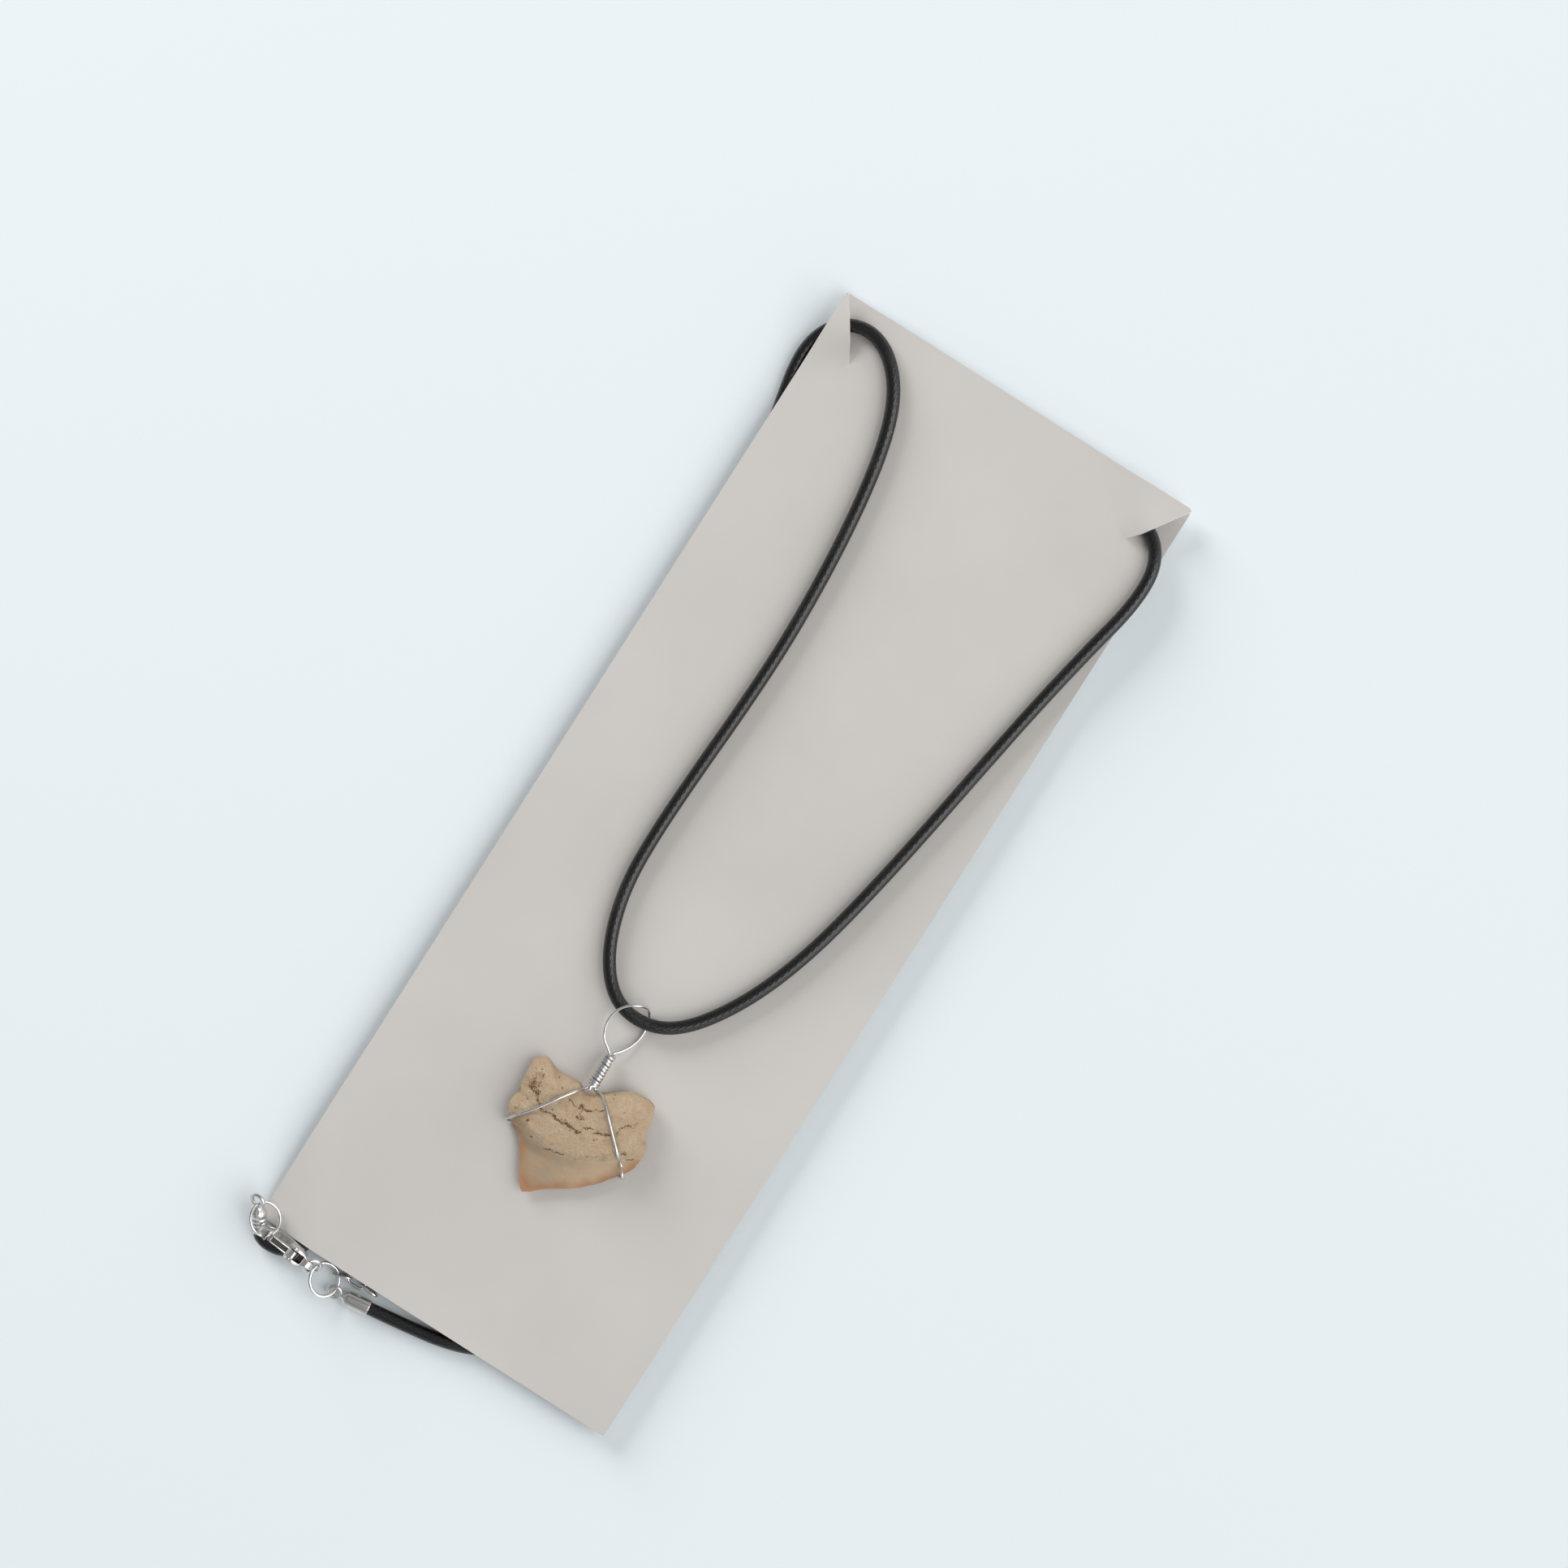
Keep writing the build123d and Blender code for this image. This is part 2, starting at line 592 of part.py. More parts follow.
# Places of the rings, cord ends and links
RING_REACH = JUMP_RING_OUTER - JUMP_RING_WIRE
HOOK_SPOT = (1.95, 0, 1.65)
LEFT_LOOP = Vector(-31.27, -78.27, 4.4)
LEFT_MOUTH = Vector(*CORD_ROUTE[0])
RIGHT_MOUTH = Vector(*CORD_ROUTE[-1])
RIGHT_LOOP = Vector(-14.72, -84.03, 1.28)
LOOP_ROLL = 30.0
LEFT_RING_LEAN = 38.0
RIGHT_RING_LEAN = 29.0
CLASP_RING_DIP = 37.0
CLASP_RING_ROLL = 25.0
CLASP_RING_PLAY = 0.35
CHAIN_ON_RING = 60.0
CHAIN_LEAD = 0.85
CHAIN_WAYS = [(0.93, 0.37, 0), (1.0, -0.02, 0), (0.99, -0.10, 0)]
CHAIN_Z = LINK_WIDTH / 2 + 0.06


def ring_frame(first, second, lean):
    """Gives a jump ring's frame: X from one spot to the other, Y to the side that hangs low."""
    way = (second - first).normalized()
    rise = (UP - way * UP.dot(way)).normalized()
    sideways = UP.cross(way).normalized()
    turn = math.radians(abs(lean))
    low = sideways * math.cos(turn) * (1 if lean > 0 else -1) - rise * math.sin(turn)
    return Plane(origin=(first + second) * 0.5, x_dir=way, z_dir=way.cross(low))


def rolled_normal(axis, roll):
    """Gives the direction that a loop on an axis faces when it is rolled about the axis."""
    level = (UP - axis * UP.dot(axis)).normalized()
    turn = math.radians(roll)
    return (level * math.cos(turn) + axis.cross(level) * math.sin(turn)).normalized()


def cord_way(first, second):
    """Gives the cord's direction between two points of its route."""
    return Vector(*CORD_ROUTE[second]) - Vector(*CORD_ROUTE[first])


def make_rings():
    """Builds the three rings, and gives the spot where the chain hangs on the right one."""
    torus = Torus((JUMP_RING_OUTER - JUMP_RING_WIRE) / 2, JUMP_RING_WIRE / 2)
    hook_spot = clasp_point(*HOOK_SPOT)
    left_far = hook_spot + (LEFT_LOOP - hook_spot).normalized() * RING_REACH
    left_ring = ring_frame(hook_spot, left_far, -LEFT_RING_LEAN) * torus

    dip = math.radians(CLASP_RING_DIP)
    radius = (CLASP_RING_OUTER - CLASP_RING_WIRE) / 2
    eye = clasp_point(EYE_CENTRE[0], 0, EYE_CENTRE[1])
    way = clasp_frame().x_dir * math.cos(dip) - UP * math.sin(dip)
    level_frame = Plane(origin=eye + way * radius, x_dir=way, z_dir=way.cross(clasp_frame().y_dir))
    clasp_ring = level_frame * Rotation(CLASP_RING_ROLL, 0, 0) * Torus(radius, CLASP_RING_WIRE / 2)

    near = eye + way * (2 * radius - CLASP_RING_WIRE - CLASP_RING_PLAY)
    right_far = near + (RIGHT_LOOP - near).normalized() * RING_REACH
    right_frame = ring_frame(near, right_far, RIGHT_RING_LEAN)
    turn = math.radians(CHAIN_ON_RING)
    hang = right_frame.from_local_coords(Vector(math.cos(turn), math.sin(turn)) * (RING_REACH / 2))
    return left_ring, clasp_ring, right_frame * torus, hang


def make_chain(hang):
    """Builds the extender's links in turn, upright and flat, from the spot on the ring."""
    links = []
    spot = Vector(hang.X, hang.Y, CHAIN_Z) - Vector(*CHAIN_WAYS[0]).normalized() * CHAIN_LEAD
    for index, way in enumerate(CHAIN_WAYS):
        way = Vector(*way).normalized()
        end = spot + way * (LINK_LENGTH - LINK_WIRE)
        links.append(make_link(spot, end, UP if index % 2 else UP.cross(way)))
        if index + 1 < len(CHAIN_WAYS):
            spot = end - Vector(*CHAIN_WAYS[index + 1]).normalized() * (LINK_WIRE + THREAD_GAP)
    return links


def main():
    """Builds and writes every node."""
    os.makedirs("parts", exist_ok=True)
    node("card", make_card())
    node("cord", make_cord())
    node("tooth", make_tooth())
    node("wire_wrap", make_wire_wrap())

    left_axis = (LEFT_MOUTH - LEFT_LOOP).normalized()
    left_normal = rolled_normal(left_axis, LOOP_ROLL)
    node("left_crimp", make_crimp(LEFT_LOOP, left_axis, left_normal, CORD_ROUTE[0], cord_way(0, 1), 20))
    right_axis = (RIGHT_MOUTH - RIGHT_LOOP).normalized()
    right_normal = rolled_normal(right_axis, LOOP_ROLL)
    node("right_crimp", make_crimp(RIGHT_LOOP, right_axis, right_normal, CORD_ROUTE[-1], cord_way(-1, -2), -35))

    left_ring, clasp_ring, right_ring, hang = make_rings()
    node("left_jump_ring", left_ring)
    node("clasp_ring", clasp_ring)
    node("right_jump_ring", right_ring)
    node("clasp_body", make_clasp_body())
    node("clasp_lever", make_clasp_lever())
    for number, link in enumerate(make_chain(hang), 1):
        node(f"chain_link_{number}", link)


main()
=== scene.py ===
import logging
import math
from collections.abc import Callable, Iterator
from contextlib import contextmanager
from dataclasses import dataclass
from enum import Enum

import bmesh
import bpy
import numpy as np
from mathutils import Matrix, Vector, noise


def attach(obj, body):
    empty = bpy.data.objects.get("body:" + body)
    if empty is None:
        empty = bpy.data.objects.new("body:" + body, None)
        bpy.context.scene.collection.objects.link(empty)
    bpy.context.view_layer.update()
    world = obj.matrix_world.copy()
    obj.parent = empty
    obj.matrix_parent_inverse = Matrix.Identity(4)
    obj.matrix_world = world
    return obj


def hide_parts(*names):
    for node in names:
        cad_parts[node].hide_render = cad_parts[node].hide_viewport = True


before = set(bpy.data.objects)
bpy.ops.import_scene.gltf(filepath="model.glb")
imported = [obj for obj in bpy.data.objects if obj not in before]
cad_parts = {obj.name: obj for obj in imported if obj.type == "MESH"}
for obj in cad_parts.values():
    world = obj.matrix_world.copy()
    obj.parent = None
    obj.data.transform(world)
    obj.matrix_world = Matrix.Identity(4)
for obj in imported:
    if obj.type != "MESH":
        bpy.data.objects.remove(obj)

log = logging.getLogger("necklace")

Piece = bpy.types.Object
Material = bpy.types.Material
Socket = bpy.types.NodeSocket

MM = 0.001
CARD_MIDDLE = (1.4, 2.4)
ON_SLIT = 0.002
STILL = "necklace_and_card"
TURNING = "clasp_lever"
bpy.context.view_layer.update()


class Slot(Enum):
    """The pieces' material slots."""

    CARD = "card"
    CORD = "cord"
    TOOTH = "tooth"
    WIRE = "silver_wire"
    CORD_END = "cord_end_metal"
    RING = "ring_metal"
    CLASP = "clasp_metal"


def spot(x: float, y: float, z: float) -> Vector:
    """Gives a place measured in millimetres from the card's middle, in the frame's metres."""
    return Vector(((x + CARD_MIDDLE[0]) * MM, (y + CARD_MIDDLE[1]) * MM, z * MM))


def ease(share: float) -> float:
    """Eases a share from 0 to 1."""
    share = min(1.0, max(0.0, share))
    return share * share * (3 - 2 * share)


def eased(shares: np.ndarray) -> np.ndarray:
    """Eases many shares from 0 to 1 at once."""
    shares = np.clip(shares, 0, 1)
    return shares * shares * (3 - 2 * shares)


def walked(line: np.ndarray) -> np.ndarray:
    """Gives the length walked along a line at each of its points."""
    return np.concatenate([[0.0], np.cumsum(np.linalg.norm(np.diff(line, axis=0), axis=1))])


def read_at(marks: np.ndarray, lengths: np.ndarray, line: np.ndarray) -> np.ndarray:
    """Reads a line's places, one row each, at some lengths along it, from the length walked at each point."""
    return np.stack([np.interp(marks, lengths, column) for column in line.T], axis=1)


def clouds(x: np.ndarray, y: np.ndarray, scale: float, layer: float) -> np.ndarray:
    """Gives soft noise from about -1 to 1 at places in millimetres, as fine as the scale, from one layer."""
    return np.array([noise.noise((a * scale, b * scale, layer)) for a, b in zip(x, y)])


def facing(across: tuple, outwards: tuple) -> Matrix:
    """Gives the turn that lays X along one way and Z along another."""
    x_way, z_way = Vector(across), Vector(outwards)
    return Matrix((x_way, z_way.cross(x_way), z_way)).transposed()


class Bench:
    """The few moves with Blender's own operators that the makers below share."""

    @staticmethod
    def clear() -> None:
        """Leaves edit mode and selects nothing."""
        if bpy.context.object is not None and bpy.context.object.mode != "OBJECT":
            bpy.ops.object.mode_set(mode="OBJECT")
        bpy.ops.object.select_all(action="DESELECT")

    @staticmethod
    def take(piece: Piece) -> None:
        """Makes a piece the only selected one.

        Args:
            piece: The piece.
        """
        Bench.clear()
        piece.select_set(True)
        bpy.context.view_layer.objects.active = piece

    @staticmethod
    @contextmanager
    def editing(piece: Piece, parts: str = "VERT", wanted: Callable | None = None) -> Iterator[None]:
        """Opens a piece in edit mode while the block under it runs.

        Args:
            piece: The piece.
            parts: The kind of part that is selected: VERT, EDGE or FACE.
            wanted: Tells whether an edge or a face is selected, or None to select everything.
        """
        Bench.take(piece)
        bpy.ops.object.mode_set(mode="EDIT")
        bpy.ops.mesh.select_mode(type=parts)
        bpy.ops.mesh.select_all(action="SELECT" if wanted is None else "DESELECT")
        if wanted is not None:
            inside = bmesh.from_edit_mesh(piece.data)
            for part in inside.faces if parts == "FACE" else inside.edges:
                part.select_set(wanted(part))
            bmesh.update_edit_mesh(piece.data)
        yield
        bpy.ops.object.mode_set(mode="OBJECT")

    @staticmethod
    def change(piece: Piece, kind: str, **settings: object) -> None:
        """Adds a modifier to a piece and applies it.

        Args:
            piece: The piece to change.
            kind: The modifier's type.
            settings: The modifier's own settings.
        """
        Bench.take(piece)
        modifier = piece.modifiers.new(kind.title(), kind)
        for name, value in settings.items():
            setattr(modifier, name, value)
        bpy.ops.object.modifier_apply(modifier=modifier.name)

    @staticmethod
    def join(pieces: list[Piece]) -> Piece:
        """Joins several pieces into the first one.

        Args:
            pieces: The pieces to join.

        Returns:
            The first piece, which now holds them all.
        """
        Bench.take(pieces[0])
        for piece in pieces[1:]:
            piece.select_set(True)
        bpy.ops.object.join()
        return pieces[0]

    @staticmethod
    def cut(piece: Piece, tool: Piece) -> None:
        """Cuts a tool's shape out of a piece and throws the tool away."""
        Bench.change(piece, "BOOLEAN", object=tool, operation="DIFFERENCE", solver="EXACT")
        bpy.data.objects.remove(tool)

    @staticmethod
    def box(low: tuple, high: tuple) -> Piece:
        """Gives a box between two corners, to cut with.

        Args:
            low: Its lowest corner, in metres.
            high: Its highest corner, in metres.

        Returns:
            The box.
        """
        Bench.clear()
        bpy.ops.mesh.primitive_cube_add(size=1)
        box = bpy.context.object
        for vertex in box.data.vertices:
            vertex.co = Vector([(a + b) / 2 + share * (b - a) for a, b, share in zip(low, high, vertex.co)])
        return box

    @staticmethod
    def mesh(name: str, points: list, edges: list, faces: list) -> Piece:
        """Makes a new piece from points and the edges or faces between them.

        Args:
            name: The piece's name.
            points: Its vertices.
            edges: Its edges as vertex numbers, where it has no faces.
            faces: Its faces as vertex numbers.

        Returns:
            The new piece.
        """
        data = bpy.data.meshes.new(name)
        data.from_pydata(points, edges, faces)
        piece = bpy.data.objects.new(name, data)
        bpy.context.scene.collection.objects.link(piece)
        return piece

    @staticmethod
    def paint(piece: Piece, name: str, values: object) -> None:
        """Paints a mask on a piece's points, one value each, for its finish to read."""
        mask = piece.data.attributes.new(name, "FLOAT", "POINT")
        mask.data.foreach_set("value", np.array(values, np.float32))

    @staticmethod
    def tidy(piece: Piece, apart: float) -> None:
        """Merges doubles and turns all faces outwards.

        Args:
            piece: The piece to clean.
            apart: The distance under which points are one.
        """
        with Bench.editing(piece):
            bpy.ops.mesh.remove_doubles(threshold=apart)
            bpy.ops.mesh.normals_make_consistent(inside=False)

    @staticmethod
    def wire(name: str, points: list[Vector], radius: float, closed: bool = False,
             along: int = 8, around: int = 4) -> Piece:
        """Bends a round wire smoothly through a row of points.

        Args:
            name: The piece's name.
            points: The points of its middle line, in metres.
            radius: The wire's radius, in metres.
            closed: Whether it runs back into its start.
            along: Steps between two points.
            around: Fineness of the section.

        Returns:
            The wire as a mesh.
        """
        Bench.clear()
        curve = bpy.data.curves.new(name, "CURVE")
        curve.dimensions = "3D"
        curve.resolution_u = along
        curve.bevel_depth = radius
        curve.bevel_resolution = around
        curve.use_fill_caps = not closed
        line = curve.splines.new("BEZIER")
        line.bezier_points.add(len(points) - 1)
        for knot, point in zip(line.bezier_points, points):
            knot.co = point
            knot.handle_left_type = knot.handle_right_type = "AUTO"
        line.use_cyclic_u = closed
        piece = bpy.data.objects.new(name, curve)
        bpy.context.scene.collection.objects.link(piece)
        Bench.take(piece)
        bpy.ops.object.convert(target="MESH")
        piece = bpy.context.object
        Bench.tidy(piece, radius * 0.01)
        return piece

    @staticmethod
    def settle(piece: Piece, name: str, material: Material, slot: Slot, replaces: tuple = (),
               body: str = STILL, angle: float = 45.0) -> Piece:
        """Names and dresses a finished piece, hangs it on its body and hides the CAD nodes that it stands
        for.

        Args:
            piece: The finished piece.
            name: Its name.
            material: Its finish.
            slot: Not used.
            replaces: The CAD nodes that it stands for.
            body: The body that it moves with.
            angle: The edge angle in degrees over which edges stay crisp.

        Returns:
            The same piece.
        """
        piece.name = piece.data.name = name
        piece.data.transform(piece.matrix_world)
        piece.matrix_world = Matrix.Identity(4)
        Bench.take(piece)
        bpy.ops.object.shade_smooth_by_angle(angle=math.radians(angle))
        piece.data.materials.clear()
        piece.data.materials.append(material)
        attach(piece, body)
        if replaces:
            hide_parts(*replaces)
        piece.data.calc_loop_triangles()
        log.info("%s: %d triangles", name, len(piece.data.loop_triangles))
        return piece


class Recipe:
    """Lays out the nodes of one material or node group in plain steps."""

    def __init__(self, tree: bpy.types.NodeTree) -> None:
        """Keeps the node tree that it fills."""
        self.tree = tree

    @staticmethod
    def colour(value: object) -> object:
        """Completes a colour or a grey to four parts, and passes a socket on."""
        value = (value, value, value) if isinstance(value, float) else value
        return (*value, 1) if isinstance(value, tuple) else value

    def add(self, kind: str, **settings: object) -> bpy.types.Node:
        """Adds a node with its settings.

        Args:
            kind: The node's type.
            settings: The node's own properties.

        Returns:
            The node.
        """
        node = self.tree.nodes.new(kind)
        for name, value in settings.items():
            setattr(node, name, value)
        return node

    def feed(self, socket: Socket, value: object) -> None:
        """Sets a socket from a link or from a plain value.

        Args:
            socket: The socket that is set.
            value: Another socket, or a plain value.
        """
        if isinstance(value, Socket):
            self.tree.links.new(value, socket)
        else:
            socket.default_value = value

    def fill(self, node: bpy.types.Node, **values: object) -> bpy.types.Node:
        """Sets a node's inputs.

        Args:
            node: The node.
            values: Its inputs, with blanks written as underscores, each a socket or a plain value.

        Returns:
            The node.
        """
        for name, value in values.items():
            self.feed(node.inputs[name.replace("_", " ")], value)
        return node

    def place(self, stretch: tuple = (1, 1, 1), turn: float = 0.0) -> Socket:
        """Gives the object's own coordinates in millimetres.

        Args:
            stretch: How much each axis is drawn out.
            turn: A turn about the upright axis, in degrees.

        Returns:
            The vector socket.
        """
        own = self.add("ShaderNodeTexCoord").outputs["Object"]
        mapping = self.fill(self.add("ShaderNodeMapping"), Vector=own, Rotation=(0, 0, math.radians(turn)),
                            Scale=[1 / (MM * share) for share in stretch])
        return mapping.outputs["Vector"]

    def parts(self, vector: Socket) -> bpy.types.NodeOutputs:
        """Splits a vector into its X, Y and Z."""
        return self.fill(self.add("ShaderNodeSeparateXYZ"), Vector=vector).outputs

    def painted(self, name: str) -> Socket:
        """Reads a mask that is painted on the piece's points."""
        return self.add("ShaderNodeAttribute", attribute_name=name).outputs["Fac"]

    def noise(self, vector: Socket, scale: object, detail: float = 3.0, rough: float = 0.55) -> Socket:
        """Gives a cloudy value from 0 to 1, as fine as the scale per millimetre, with finer layers."""
        node = self.fill(self.add("ShaderNodeTexNoise"), Vector=vector, Scale=scale, Detail=detail,
                         Roughness=rough)
        return node.outputs["Fac"]

    def dots(self, vector: Socket, scale: float) -> Socket:
        """Gives the distance to the nearest of many scattered dots."""
        node = self.fill(self.add("ShaderNodeTexVoronoi", feature="F1"), Vector=vector, Scale=scale)
        return node.outputs["Distance"]

    def ramp(self, value: Socket, *stops: tuple) -> Socket:
        """Maps a value onto colours.

        Args:
            value: The value's socket.
            stops: Pairs of place and colour, or place and grey.

        Returns:
            The colour's socket.
        """
        node = self.add("ShaderNodeValToRGB")
        ramp = node.color_ramp
        while len(ramp.elements) < len(stops):
            ramp.elements.new(0.5)
        for element, (place, tone) in zip(ramp.elements, stops):
            element.position = place
            element.color = self.colour(tone)
        return self.fill(node, Fac=value).outputs["Color"]

    def mix(self, share: object, first: object, second: object, how: str = "MIX") -> Socket:
        """Mixes two colours.

        Args:
            share: How much of the second, from 0 to 1.
            first: The first colour or grey.
            second: The second colour or grey.
            how: The blend type.

        Returns:
            The mixed colour's socket.
        """
        node = self.add("ShaderNodeMix", data_type="RGBA", blend_type=how)
        self.feed(node.inputs["Factor"], share)
        colours = [socket for socket in node.inputs if socket.type == "RGBA"]
        for socket, value in zip(colours, (first, second)):
            self.feed(socket, self.colour(value))
        return next(socket for socket in node.outputs if socket.type == "RGBA")

    def sum(self, how: str, first: object, second: object = 0.0, third: object = 0.0) -> Socket:
        """Works out one step of arithmetic.

        Args:
            how: The operation.
            first: The first value.
            second: The second value.
            third: The third value.

        Returns:
            The result's socket.
        """
        node = self.add("ShaderNodeMath", operation=how)
        for socket, value in zip(node.inputs, (first, second, third)):
            self.feed(socket, value)
        return node.outputs["Value"]

    def times(self, first: object, second: object) -> Socket:
        """Multiplies two values."""
        return self.sum("MULTIPLY", first, second)

    def scaled(self, value: object, scale: object, shift: object) -> Socket:
        """Scales a value and then shifts it."""
        return self.sum("MULTIPLY_ADD", value, scale, shift)

    def group(self, tree: bpy.types.NodeTree, **values: object) -> bpy.types.NodeOutputs:
        """Places a shared effect with its inputs, blanks written as underscores, and gives its outputs."""
        return self.fill(self.add("ShaderNodeGroup", node_tree=tree), **values).outputs

    def bump(self, height: Socket, depth: float, strength: float) -> Socket:
        """Turns a height from 0 to 1 into a normal, where 1 stands for the depth in millimetres."""
        node = self.fill(self.add("ShaderNodeBump"), Strength=strength, Distance=depth * MM, Height=height)
        return node.outputs["Normal"]


class SharedEffects:
    """The node groups that more than one finish uses."""

    def __init__(self) -> None:
        """Builds the groups once."""
        self.grain = self._grain()
        self.handling = self._handling()

    @staticmethod
    def _start(name: str, sizes: dict, results: tuple) -> tuple:
        """Opens a node group that takes coordinates and sizes and gives values.

        Args:
            name: The group's name.
            sizes: Its sizes' names and defaults.
            results: The names of its results.

        Returns:
            The recipe, the group's inputs and its output node.
        """
        tree = bpy.data.node_groups.new(name, "ShaderNodeTree")
        tree.interface.new_socket(name="Vector", in_out="INPUT", socket_type="NodeSocketVector")
        for label, default in sizes.items():
            size = tree.interface.new_socket(name=label, in_out="INPUT", socket_type="NodeSocketFloat")
            size.default_value = default
        for label in results:
            tree.interface.new_socket(name=label, in_out="OUTPUT", socket_type="NodeSocketFloat")
        recipe = Recipe(tree)
        return recipe, recipe.add("NodeGroupInput").outputs, recipe.add("NodeGroupOutput")

    def _grain(self) -> bpy.types.NodeTree:
        """Builds the fine grain of a dull surface: coarse cloud and fine tooth.

        Returns:
            The group, with Cloud and Tooth from 0 to 1.
        """
        recipe, given, result = self._start("fine_grain", {"Cloud Scale": 0.1, "Tooth Scale": 4.0},
                                            ("Cloud", "Tooth"))
        recipe.fill(result, Cloud=recipe.noise(given["Vector"], given["Cloud Scale"], 4.0, 0.6),
                    Tooth=recipe.noise(given["Vector"], given["Tooth Scale"], 2.0, 0.7))
        return recipe.tree

    def _handling(self) -> bpy.types.NodeTree:
        """Builds the marks that handling leaves on bright metal: haze, fine scratches and dark spots.

        Returns:
            The group, with Roughness, Tarnish and Height.
        """
        recipe, given, result = self._start(
            "handling_marks", {"Haze Scale": 0.8, "Scratch Scale": 6.0, "Lowest": 0.14, "Highest": 0.34},
            ("Roughness", "Tarnish", "Height"))
        haze = recipe.noise(given["Vector"], given["Haze Scale"], 4.0, 0.65)
        fine = recipe.noise(given["Vector"], given["Scratch Scale"], 3.0, 0.75)
        spread = recipe.sum("SUBTRACT", given["Highest"], given["Lowest"])
        mixed = recipe.scaled(fine, 0.45, recipe.times(haze, 0.6))
        spots = recipe.sum("MAXIMUM", recipe.scaled(haze, 4.0, -2.1), 0.0)
        recipe.fill(result, Roughness=recipe.scaled(mixed, spread, given["Lowest"]),
                    Tarnish=recipe.sum("SMOOTH_MIN", spots, 1.0, 0.2), Height=fine)
        return recipe.tree


def new_material(name: str) -> tuple:
    """Starts a material.

    Args:
        name: The material's name.

    Returns:
        The material, its recipe and its Principled shader.
    """
    material = bpy.data.materials.new(name)
    material.use_nodes = True
    return material, Recipe(material.node_tree), material.node_tree.nodes["Principled BSDF"]


@dataclass(frozen=True)
class CardFinish:
    """Matt warm grey card, faintly cloudy, with a paler cut edge."""

    light: tuple = (0.592, 0.566, 0.535)
    dark: tuple = (0.546, 0.520, 0.491)
    cut: tuple = (0.74, 0.71, 0.68)
    smoothest: float = 0.63

    def make(self, shared: SharedEffects) -> Material:
        """Builds the material.

        Args:
            shared: The shared effects.

        Returns:
            The material.
        """
        material, recipe, skin = new_material("warm_grey_card")
        grain = recipe.group(shared.grain, Vector=recipe.place(), Cloud_Scale=0.022, Tooth_Scale=3.2)
        face = recipe.mix(recipe.ramp(grain["Cloud"], (0.35, 0.0), (0.65, 1.0)), self.dark, self.light)
        face = recipe.mix(recipe.times(grain["Tooth"], 0.10), face, self.dark)
        upwards = recipe.parts(recipe.add("ShaderNodeNewGeometry").outputs["Normal"])["Z"]
        edge = recipe.ramp(recipe.sum("ABSOLUTE", upwards), (0.25, 1.0), (0.6, 0.0))
        recipe.fill(skin, Base_Color=recipe.mix(edge, face, self.cut),
                    Roughness=recipe.scaled(grain["Cloud"], 0.18, self.smoothest),
                    Normal=recipe.bump(grain["Tooth"], 0.012, 0.6), Specular_IOR_Level=0.35)
        return material


@dataclass(frozen=True)
class Braid:
    """The cord's braid, which its shape and its finish share."""

    strands: int = 10
    pitch: float = 1.15
    unrolled: float = 0.05


@dataclass(frozen=True)
class CordFinish:
    """Black waxed braid: painted shade in its valleys, paler crests, dull wax marks and a few pale specks."""

    braid: Braid = Braid()
    # The braid's colour in its valleys, darker than on the crests: painted shade between the strands.
    valley: tuple = (0.0016, 0.0015, 0.0016)
    crest: tuple = (0.0045, 0.0042, 0.0044)
    wax: tuple = (0.022, 0.022, 0.024)
    speck: tuple = (0.36, 0.36, 0.36)

    def woven(self, recipe: Recipe) -> Socket:
        """Weaves the strands over and under each other from the unrolled surface.

        Args:
            recipe: The material's recipe.

        Returns:
            The strands' height, from 0 in a valley to 1 on a crest.
        """
        unrolled = recipe.parts(recipe.add("ShaderNodeTexCoord").outputs["UV"])
        turn = recipe.times(unrolled["X"], self.braid.strands)
        along = recipe.times(unrolled["Y"], 1 / (self.braid.unrolled * self.braid.pitch))
        right, left = recipe.sum("ADD", turn, along), recipe.sum("SUBTRACT", turn, along)
        steps = recipe.sum("ADD", recipe.sum("FLOOR", right), recipe.sum("FLOOR", left))
        under = recipe.sum("GREATER_THAN", recipe.sum("FLOORED_MODULO", steps, 2.0), 0.5)
        first, second = recipe.sum("FRACT", right), recipe.sum("FRACT", left)
        across = recipe.scaled(recipe.sum("SUBTRACT", second, first), under, first)
        down = recipe.sum("SUBTRACT", recipe.sum("ADD", first, second), across)
        off = recipe.scaled(across, 2.0, -1.0)
        rounded = recipe.scaled(recipe.times(off, off), -1.0, 1.0)
        arch = recipe.sum("SQRT", recipe.sum("MAXIMUM", rounded, 0.0))
        hump = recipe.scaled(recipe.sum("SINE", recipe.times(down, math.pi)), 0.6, 0.4)
        return recipe.times(arch, hump)

    def make(self, shared: SharedEffects) -> Material:
        """Builds the material.

        Args:
            shared: The shared effects.

        Returns:
            The material.
        """
        material, recipe, skin = new_material("black_waxed_braid")
        place = recipe.place()
        grain = recipe.group(shared.grain, Vector=place, Cloud_Scale=0.16, Tooth_Scale=7.0)
        height = self.woven(recipe)
        crests = recipe.ramp(height, (0.15, 0.0), (0.85, 1.0))
        dull = recipe.mix(1.0, recipe.ramp(grain["Cloud"], (0.54, 0.0), (0.70, 0.6)), crests, "MULTIPLY")
        # Painted shade: the base colour is darker in the braid's valleys than on its crests.
        base = recipe.mix(dull, recipe.mix(crests, self.valley, self.crest), self.wax)
        specks = recipe.ramp(recipe.dots(place, 0.22), (0.012, 1.0), (0.020, 0.0))
        rough = recipe.scaled(grain["Tooth"], 0.12, recipe.scaled(grain["Cloud"], 0.30, 0.12))
        relief = recipe.scaled(grain["Tooth"], 0.12, height)
        recipe.fill(skin, Base_Color=recipe.mix(specks, base, self.speck),
                    Roughness=recipe.scaled(crests, -0.10, rough), Normal=recipe.bump(relief, 0.045, 0.5),
                    Specular_IOR_Level=0.66)
        return material


